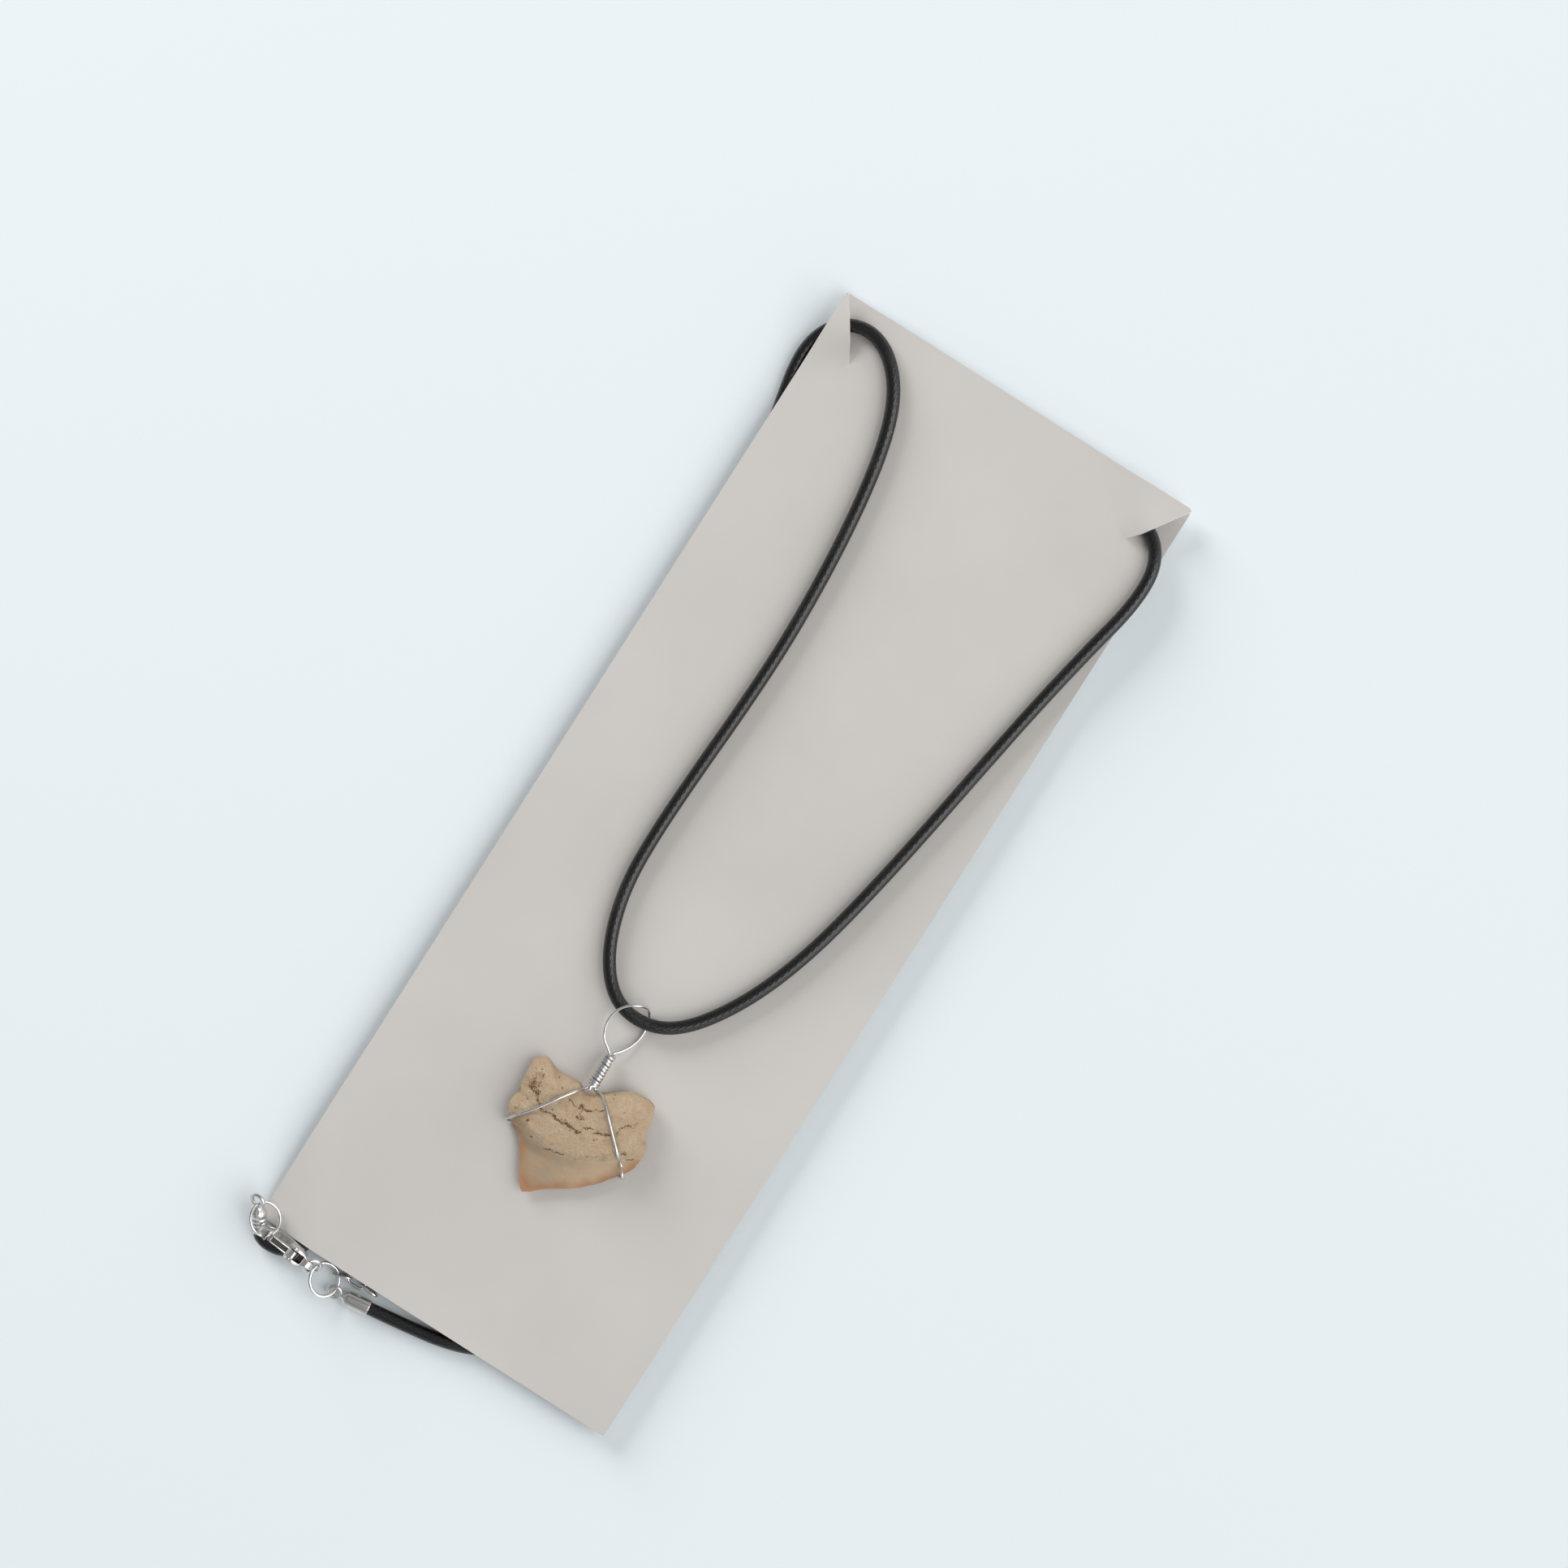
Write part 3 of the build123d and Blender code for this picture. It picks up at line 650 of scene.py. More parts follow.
@dataclass(frozen=True)
class ToothFinish:
    """Fossil tooth: porous beige root, stained cracks, smooth tan crown and orange edges."""

    root: tuple = (0.455, 0.345, 0.226)
    root_dark: tuple = (0.335, 0.240, 0.148)
    root_pale: tuple = (0.520, 0.418, 0.292)
    root_warm: tuple = (0.430, 0.285, 0.155)
    fleck: tuple = (0.600, 0.495, 0.360)
    crown: tuple = (0.430, 0.307, 0.198)
    crown_grey: tuple = (0.385, 0.294, 0.203)
    # The crown's tone where painted light from the right falls on it.
    crown_painted_light: tuple = (0.540, 0.395, 0.250)
    rim: tuple = (0.370, 0.183, 0.084)
    stain: tuple = (0.095, 0.055, 0.030)
    halo: tuple = (0.230, 0.130, 0.066)

    def bone(self, recipe: Recipe, place: Socket, cloud: Socket, grit: Socket, rim: Socket) -> Socket:
        """Mixes the root's porous beige.

        Args:
            recipe: The material's recipe.
            place: The coordinates.
            cloud: The coarse cloud.
            grit: The fine grain.
            rim: The mask of the tooth's edge.

        Returns:
            The root's colour.
        """
        warm = recipe.ramp(recipe.noise(place, 0.9, 4.0, 0.65), (0.38, 0.0), (0.64, 1.0))
        root = recipe.mix(cloud, self.root, self.root_pale)
        root = recipe.mix(recipe.times(warm, 0.55), root, self.root_warm)
        root = recipe.mix(recipe.ramp(grit, (0.40, 0.45), (0.52, 0.0)), root, self.root_dark)
        root = recipe.mix(recipe.times(rim, 0.12), root, self.rim)
        flecks = recipe.ramp(recipe.noise(place, 6.5, 2.0, 0.6), (0.58, 0.0), (0.68, 0.55))
        return recipe.mix(flecks, root, self.fleck)

    def enamel(self, recipe: Recipe, place: Socket, rim: Socket) -> Socket:
        """Mixes the crown's streaky tan, with painted light that brightens it towards the right, and orange
        along its edge.

        Args:
            recipe: The material's recipe.
            place: The coordinates.
            rim: The mask of the tooth's edge.

        Returns:
            The crown's colour.
        """
        streaks = recipe.noise(recipe.place((3.2, 1.0, 3.0), 20.0), 1.1, 3.0)
        tan = recipe.mix(recipe.ramp(streaks, (0.35, 0.0), (0.65, 1.0)), self.crown, self.crown_grey)
        # Painted light: the crown grows brighter towards the right, where the light falls.
        painted_light_right = recipe.ramp(recipe.times(recipe.parts(place)["X"], 0.1), (0.35, 0.0), (0.95, 0.8))
        tan = recipe.mix(painted_light_right, tan, self.crown_painted_light)
        return recipe.mix(recipe.times(rim, 0.85), tan, self.rim)

    def pores(self, recipe: Recipe, place: Socket, crown: Socket) -> Socket:
        """Gives the small dark pores that lie in patches of the root.

        Args:
            recipe: The material's recipe.
            place: The coordinates.
            crown: The mask of the crown, which has none.

        Returns:
            The pores' strength.
        """
        pore = recipe.ramp(recipe.dots(place, 1.9), (0.06, 0.85), (0.15, 0.0))
        patches = recipe.ramp(recipe.noise(place, 0.8, 2.0), (0.42, 0.0), (0.52, 1.0))
        return recipe.mix(crown, recipe.mix(1.0, pore, patches, "MULTIPLY"), 0.0)

    def stained(self, recipe: Recipe, place: Socket) -> Socket:
        """Breaks the stain's smooth field up into fine dark grains.

        Args:
            recipe: The material's recipe.
            place: The coordinates.

        Returns:
            The stain's strength, before it is cut to dark cores and brown halos.
        """
        lumps = recipe.scaled(recipe.noise(place, 5.6, 3.0, 0.65), 2.5,
                              recipe.times(recipe.noise(place, 1.7, 2.0, 0.5), 1.3))
        field = recipe.sum("MAXIMUM", recipe.painted("crack"), recipe.times(recipe.painted("patch"), 0.80))
        return recipe.sum("ADD", field, recipe.sum("SUBTRACT", lumps, 1.93))

    def make(self, shared: SharedEffects) -> Material:
        """Builds the material.

        Args:
            shared: The shared effects.

        Returns:
            The material.
        """
        material, recipe, skin = new_material("fossil_tooth")
        place = recipe.place()
        grain = recipe.group(shared.grain, Vector=place, Cloud_Scale=0.28, Tooth_Scale=5.5)
        crown, rim = recipe.painted("crown"), recipe.painted("rim")
        cloud = recipe.ramp(grain["Cloud"], (0.36, 0.0), (0.64, 1.0))
        strength = self.stained(recipe, place)
        base = recipe.mix(crown, self.bone(recipe, place, cloud, grain["Tooth"], rim),
                          self.enamel(recipe, place, rim))
        base = recipe.mix(recipe.times(recipe.painted("ledge"), 0.45), base, self.fleck)
        base = recipe.mix(self.pores(recipe, place, crown), base, self.halo)
        base = recipe.mix(recipe.ramp(strength, (0.42, 0.0), (0.72, 0.70)), base, self.halo)
        base = recipe.mix(recipe.ramp(strength, (0.62, 0.0), (0.86, 0.92)), base, self.stain)
        rough = recipe.mix(recipe.times(cloud, 0.15), recipe.mix(crown, 0.82, 0.42), 0.65)
        height = recipe.mix(1.0, grain["Tooth"], recipe.mix(crown, 1.0, 0.10), "MULTIPLY")
        height = recipe.mix(recipe.ramp(strength, (0.5, 0.0), (0.9, 0.8)), height, 0.0)
        recipe.fill(skin, Base_Color=base, Roughness=rough, Normal=recipe.bump(height, 0.12, 0.75),
                    Specular_IOR_Level=0.4)
        return material


@dataclass(frozen=True)
class MetalFinish:
    """Bright plated metal or wire with haze and fine scratches."""

    name: str
    bright: tuple
    shade: tuple
    lowest: float
    highest: float
    haze: float = 0.8
    # Optional painted shade: a dark colour laid into the hollows that a painted mask marks.
    shaded_recesses: bool = False
    recess_shade: tuple = (0.10, 0.088, 0.078)

    def make(self, shared: SharedEffects) -> Material:
        """Builds the material.

        Args:
            shared: The shared effects.

        Returns:
            The material.
        """
        material, recipe, skin = new_material(self.name)
        marks = recipe.group(shared.handling, Vector=recipe.place(), Haze_Scale=self.haze, Scratch_Scale=7.0,
                             Lowest=self.lowest, Highest=self.highest)
        tone, rough = recipe.mix(marks["Tarnish"], self.bright, self.shade), marks["Roughness"]
        # Painted shade: darker and rougher where the mask says a point lies deep in a hollow.
        if self.shaded_recesses:
            dull = recipe.painted("recess_shade")
            tone, rough = recipe.mix(dull, tone, self.recess_shade), recipe.scaled(dull, 0.25, rough)
        recipe.fill(skin, Base_Color=tone, Roughness=rough, Normal=recipe.bump(marks["Height"], 0.006, 0.35),
                    Metallic=1.0)
        return material


@dataclass
class Cord:
    """The black braided cord, one whole loop from cord end to cord end."""

    braid: Braid = Braid()
    diameter: float = 2.0
    length: float = 582.0
    drawn: float = 0.975
    swell: float = 0.05
    swell_at: tuple = (-16.0, 70.0)
    swell_reach: float = 14.0
    crest_rise: float = 0.015
    depth: float = 0.035
    sides: int = 32
    step: float = 0.22
    route: tuple = (
        (-29.10, -81.95, 1.74), (-28.67, -82.68, 1.23), (-28.05, -83.15, 1.04), (-26.80, -83.42, 1.00),
        (-25.00, -83.20, 1.00), (-23.40, -82.35, 1.00), (-22.25, -80.90, 1.00), (-21.75, -78.90, 1.00),
        (-21.50, -75.20, 1.00), (-21.60, -70.40, 1.00), (-22.10, -62.50, 1.00), (-23.10, -50.00, 1.00),
        (-23.30, -32.00, 1.00), (-22.90, -8.00, 1.00), (-23.00, 15.00, 1.00), (-24.00, 33.00, 1.00),
        (-26.10, 46.50, 1.00), (-28.50, 56.80, 1.00), (-29.80, 62.60, 1.00), (-30.75, 67.10, 1.02),
        (-30.85, 71.00, 1.25), (-29.75, 74.25, 1.85), (-27.45, 76.50, 2.53), (-24.30, 77.35, 3.12),
        (-21.10, 76.45, 3.64), (-18.20, 74.15, 3.80), (-15.80, 70.80, 3.80), (-14.00, 66.30, 3.80),
        (-12.55, 60.30, 3.80), (-11.30, 52.00, 3.80), (-10.40, 42.00, 3.80), (-9.95, 31.00, 3.80),
        (-10.20, 20.00, 3.80), (-10.75, 9.00, 3.80), (-11.05, -1.50, 3.80), (-10.75, -9.50, 3.80),
        (-9.10, -16.50, 3.80), (-6.40, -22.00, 4.05), (-2.70, -25.55, 4.40), (1.70, -26.30, 4.40),
        (6.20, -24.90, 4.20), (10.30, -20.60, 3.80), (14.40, -13.30, 3.80), (17.60, -4.00, 3.80),
        (19.90, 6.50, 3.80), (22.00, 18.50, 3.80), (24.00, 31.50, 3.80), (26.00, 44.00, 3.80),
        (28.20, 55.50, 3.80), (29.65, 62.00, 3.80), (30.10, 66.90, 3.74), (29.65, 70.50, 3.46),
        (28.05, 73.35, 2.90), (25.40, 75.15, 2.36), (22.10, 75.75, 1.22), (18.95, 74.90, 1.00),
        (16.60, 72.60, 1.00), (15.10, 68.70, 1.00), (14.20, 62.00, 1.00), (13.80, 53.00, 1.00),
        (13.90, 40.00, 1.00), (14.50, 22.00, 1.00), (15.70, 0.00, 1.00), (17.30, -22.00, 1.00),
        (18.50, -40.00, 1.00), (18.70, -54.00, 1.00), (17.70, -64.50, 1.00), (15.30, -72.00, 1.00),
        (11.60, -77.20, 1.00), (7.00, -80.30, 1.00), (2.20, -81.80, 1.00), (-2.60, -82.55, 1.02),
        (-6.40, -83.05, 1.12), (-9.50, -83.42, 1.25),
    )

    def centre_line(self) -> np.ndarray:
        """Reads the points of the smooth line that the route's points steer.

        Returns:
            Points close together along the cord's middle, in metres.
        """
        curve = bpy.data.curves.new("cord_line", "CURVE")
        curve.dimensions = "3D"
        curve.resolution_u = 40
        line = curve.splines.new("NURBS")
        line.points.add(len(self.route) - 1)
        for knot, place in zip(line.points, self.route):
            knot.co = (*spot(*place), 1)
        line.order_u = 3
        line.use_endpoint_u = True
        holder = bpy.data.objects.new("cord_line", curve)
        bpy.context.scene.collection.objects.link(holder)
        bpy.context.view_layer.update()
        read = bpy.data.meshes.new_from_object(holder)
        points = np.array([tuple(vertex.co) for vertex in read.vertices])
        bpy.data.objects.remove(holder)
        bpy.data.curves.remove(curve)
        bpy.data.meshes.remove(read)
        return points

    def paced(self, line: np.ndarray) -> tuple:
        """Walks along the line in even steps, so that the braid is even.

        Args:
            line: The line's points.

        Returns:
            The points and the length walked at each, both in metres.
        """
        lengths = walked(line)
        marks = np.linspace(0.0, lengths[-1], int(lengths[-1] / (self.step * MM)) + 1)
        return read_at(marks, lengths, line), marks

    def relief(self, turn: np.ndarray, along: np.ndarray) -> np.ndarray:
        """Gives how high the strands stand, from 0 in a valley to 1 on a crest.

        Args:
            turn: The share of a turn round the cord.
            along: The length along it, in metres.

        Returns:
            The height at each place.
        """
        first = self.braid.strands * turn + along / (self.braid.pitch * MM)
        second = self.braid.strands * turn - along / (self.braid.pitch * MM)
        top = (np.floor(first) + np.floor(second)) % 2 < 0.5
        across = np.where(top, first, second) % 1.0
        down = np.where(top, second, first) % 1.0
        arch = np.sqrt(np.clip(1 - (2 * across - 1) ** 2, 0, 1))
        return arch * (0.45 + 0.55 * np.sin(np.pi * down))

    def surface(self, line: np.ndarray, marks: np.ndarray) -> np.ndarray:
        """Draws rings round the line without twist, a little wider where the cord bends at the left slit.

        Args:
            line: The line's even points.
            marks: The length walked at each.

        Returns:
            The rings' points, one row of points for each ring.
        """
        ways = np.gradient(line, axis=0)
        ways /= np.linalg.norm(ways, axis=1)[:, None]
        side = np.cross(ways[0], (0.0, 0.0, 1.0))
        sides, ups = [], []
        for way in ways:
            side = side - way * np.dot(side, way)
            side /= np.linalg.norm(side)
            sides.append(side)
            ups.append(np.cross(side, way))
        turns = np.arange(self.sides) / self.sides
        away = np.linalg.norm(line[:, :2] - np.array(spot(*self.swell_at, 0.0)[:2]), axis=1) / MM
        width = self.drawn + self.swell * np.exp(-(away / self.swell_reach) ** 2)
        sunk = self.depth * (1 - self.relief(turns[None, :], marks[:, None]))
        radius = (self.diameter / 2 * width[:, None] + self.crest_rise - sunk) * MM
        angle = 2 * np.pi * turns[None, :, None]
        round_it = np.cos(angle) * np.array(sides)[:, None, :] + np.sin(angle) * np.array(ups)[:, None, :]
        return line[:, None, :] + radius[:, :, None] * round_it

    def build(self, material: Material) -> Piece:
        """Args:
            material: The cord's finish.

        Returns:
            The cord.
        """
        line, marks = self.paced(self.centre_line())
        points = self.surface(line, marks)
        rows, count = points.shape[:2]
        vertices = [tuple(point) for point in points.reshape(-1, 3)] + [tuple(line[0]), tuple(line[-1])]
        steps = [(j, (j + 1) % count) for j in range(count)]
        faces = [(i * count + j, i * count + k, (i + 1) * count + k, (i + 1) * count + j)
                 for i in range(rows - 1) for j, k in steps]
        first, last, end = rows * count, rows * count + 1, (rows - 1) * count
        faces += [face for j, k in steps for face in ((first, k, j), (last, end + j, end + k))]
        piece = Bench.mesh("braided_cord", vertices, [], faces)
        heights = marks / MM * self.braid.unrolled
        layout = np.zeros((len(piece.data.loops), 2), np.float32)
        corners = [(a / count, heights[b]) for i in range(rows - 1) for j in range(count)
                   for a, b in ((j, i), (j + 1, i), (j + 1, i + 1), (j, i + 1))]
        layout[:len(corners)] = corners
        piece.data.uv_layers.new(name="UVMap").data.foreach_set("uv", layout.ravel())
        Bench.tidy(piece, 1e-7)
        Bench.settle(piece, "braided_cord", material, Slot.CORD, ("cord",), angle=180)
        log.info("cord line %.1f mm, lowest %.2f mm", marks[-1] / MM, points[:, :, 2].min() / MM)
        return piece


@dataclass(frozen=True)
class BesideSlit:
    """Where a flat point of the card lies against the nearer slit, seen as at the right-hand corner."""

    side: int
    here: Vector
    way: Vector
    on_flap: bool

    @property
    def lifted(self) -> bool:
        """Tells whether the cord lifts this side of the slit."""
        return self.on_flap == (self.side < 0)

    @property
    def over(self) -> Vector:
        """Gives the way from this side over the slit, in the card's plane."""
        across = Vector((self.way.y, -self.way.x)).normalized() * (-1 if self.on_flap else 1)
        return Vector((self.side * across.x, across.y, 0.0))

    @property
    def on_line(self) -> bool:
        """Tells whether the point lies on the slit itself."""
        return abs(self.way.normalized().cross(self.here)) < ON_SLIT and self.here.dot(self.way) > 0.01


@dataclass
class Card:
    """The bare card: one thin sheet with a slit in each top corner and a sagging lower left corner."""

    half_width: float = 30.0
    half_height: float = 80.5
    top: float = 2.65
    thickness: float = 0.5
    columns: int = 84
    rows: int = 224
    corner_radius: float = 0.75
    corner_reach: float = 2.5
    slit_end: tuple = (24.0, 71.7)
    slit_reach: float = 12.5
    end_reach: float = 1.5
    side_fold: tuple = (30.0, 66.0)
    top_fold: tuple = (14.0, 80.5)
    folds_above: float = 60.0
    folds_beyond: float = 10.0
    lift: float = 1.66
    press: float = 1.25
    crossings: tuple = (5.1, 3.3)
    cord_room: float = 1.3
    relaxed: float = 0.4
    lap: float = 0.06
    lap_rise: float = 1.2
    parting: float = 0.012
    slant: float = 0.08
    slant_run: float = 3.0
    eased_above: float = 58.0
    easings: int = 10
    droop: float = 1.95
    droop_line: tuple = ((-30.0, -64.0), (-19.5, -80.5))

    def draw(self, piece: Piece, place: Vector, outwards: Vector, reach: float, trim: bool = False) -> None:
        """Draws a straight line across the sheet near a place, or trims what lies past it, outwards."""
        with Bench.editing(piece, "FACE", lambda face: (face.calc_center_median() - place).length < reach):
            bpy.ops.mesh.bisect(plane_co=place, plane_no=outwards, clear_outer=trim)

    def slit(self, piece: Piece, side: int) -> None:
        """Cuts one slit from its inner end out to the card's corner, and rounds the corner.

        Args:
            piece: The flat sheet.
            side: -1 for the left corner and 1 for the right one.
        """
        end = Vector((side * self.slit_end[0], self.slit_end[1], 0.0))
        way = (Vector((side * self.half_width, self.half_height, 0.0)) - end).normalized()
        across = Vector((-way.y, way.x, 0.0))
        self.draw(piece, end, across, self.slit_reach)
        self.draw(piece, end, way, self.end_reach)
        radius = self.corner_radius
        hub = Vector((side * (self.half_width - radius), self.half_height - radius, 0.0))
        for degrees in (20, 45, 70):
            turn = Vector((side * math.cos(math.radians(degrees)), math.sin(math.radians(degrees)), 0.0))
            self.draw(piece, hub + turn * radius, turn, self.corner_reach, trim=True)

        def on_slit(edge: bmesh.types.BMEdge) -> bool:
            """Tells whether an edge of the sheet lies on the slit."""
            ways = [vertex.co - end for vertex in edge.verts]
            return all(abs(here.dot(across)) < ON_SLIT and here.dot(way) > -ON_SLIT for here in ways)

        with Bench.editing(piece, "EDGE", on_slit):
            bpy.ops.mesh.edge_split(type="EDGE")

    def beside(self, place: Vector, middle: Vector) -> BesideSlit:
        """Finds where a flat point lies against the nearer slit.

        Args:
            place: The flat point.
            middle: The middle of the faces round it, which tells its side of the slit.

        Returns:
            The point's place beside the slit.
        """
        side = 1 if place.x > 0 else -1
        end = Vector(self.slit_end)
        way = Vector((self.half_width, self.half_height)) - end
        seen = Vector((side * middle.x, middle.y)) - end
        return BesideSlit(side, Vector((side * place.x, place.y)) - end, way, way.cross(seen) < 0)

    def sag(self, place: Vector) -> float:
        """Gives how far a flat point drops towards the corner that the clasp weighs down.

        Args:
            place: The flat point.

        Returns:
            The drop in millimetres.
        """
        start, stop = (Vector(point) for point in self.droop_line)
        along = (stop - start).normalized()
        away = Vector((along.y, -along.x))
        deepest = away.dot(Vector((-self.half_width, -self.half_height)) - start)
        return self.droop * max(0.0, away.dot(place.xy - start) / deepest) ** 1.5

    def bent(self, place: Vector, near: BesideSlit) -> Vector:
        """Gives where a point of the flat sheet lies once the cord and the clasp have bent it.

        Args:
            place: The flat point.
            near: Its place beside the slit.

        Returns:
            The point in the frame's metres.
        """
        rise = -self.sag(place)
        shift = Vector()
        reach = near.here.length
        if reach > 1e-4 and place.y > self.folds_above and abs(place.x) > self.folds_beyond:
            crossing = self.crossings[0 if near.side < 0 else 1]
            fold = Vector(self.side_fold if near.on_flap else self.top_fold) - Vector(self.slit_end)
            turned = min(1.0, near.way.angle(near.here) / near.way.angle(fold))
            full = crossing + self.cord_room
            lowered = self.relaxed * ease((reach - full) / (near.way.length - full))
            swell = ease(reach / crossing) * (1 - lowered)
            rise += (self.lift if near.lifted else -self.press) * swell * (1 - ease(turned))
            if near.on_line:
                apart = (self.lift + self.press) * swell
                lapped = self.lap * ease((apart - self.thickness) / self.lap_rise) if near.lifted else 0.0
                shift = near.over * (lapped - self.parting)
        return spot(place.x + shift.x, place.y + shift.y, self.top + rise)

    def slanted(self, near: BesideSlit) -> Vector:
        """Gives how far a lifted slit's cut edge stands out at its foot, so that it shows from above.

        Args:
            near: The point's place beside the slit.

        Returns:
            The shift of the underside's point, in metres.
        """
        out = near.here.dot(near.way.normalized())
        if not (near.on_line and near.lifted and out >= 0.5):
            return Vector()
        return near.over * (self.slant * MM * ease(out / self.slant_run))

    def build(self, material: Material) -> Piece:
        """Cuts, bends and thickens the sheet.

        Args:
            material: The card's finish.

        Returns:
            The card.
        """
        Bench.clear()
        bpy.ops.mesh.primitive_grid_add(x_subdivisions=self.columns, y_subdivisions=self.rows, size=2)
        piece = bpy.context.object
        for vertex in piece.data.vertices:
            vertex.co = (vertex.co.x * self.half_width, vertex.co.y * self.half_height, 0.0)
        for side in (-1, 1):
            self.slit(piece, side)
        sheet = bmesh.new()
        sheet.from_mesh(piece.data)
        bends, slants = [], []
        for vertex in sheet.verts:
            middles = [face.calc_center_median() for face in vertex.link_faces]
            near = self.beside(vertex.co, sum(middles, Vector()) / max(1, len(middles)))
            bends.append(self.bent(vertex.co, near))
            slants.append(self.slanted(near))
        for vertex, place in zip(sheet.verts, bends):
            vertex.co = place
        folded = [vertex for vertex in sheet.verts if vertex.co.y > spot(0, self.eased_above, 0).y]
        for _ in range(self.easings):
            around = [sum(edge.other_vert(vertex).co.z for edge in vertex.link_edges) / len(vertex.link_edges)
                      for vertex in folded]
            for vertex, height in zip(folded, around):
                vertex.co.z += (height - vertex.co.z) * 0.5
        sheet.to_mesh(piece.data)
        sheet.free()
        Bench.change(piece, "SOLIDIFY", thickness=self.thickness * MM, offset=-1.0)
        for vertex, slant in zip(piece.data.vertices[len(slants):], slants):
            vertex.co += slant
        return Bench.settle(piece, "bare_card", material, Slot.CARD, ("card",), angle=40)


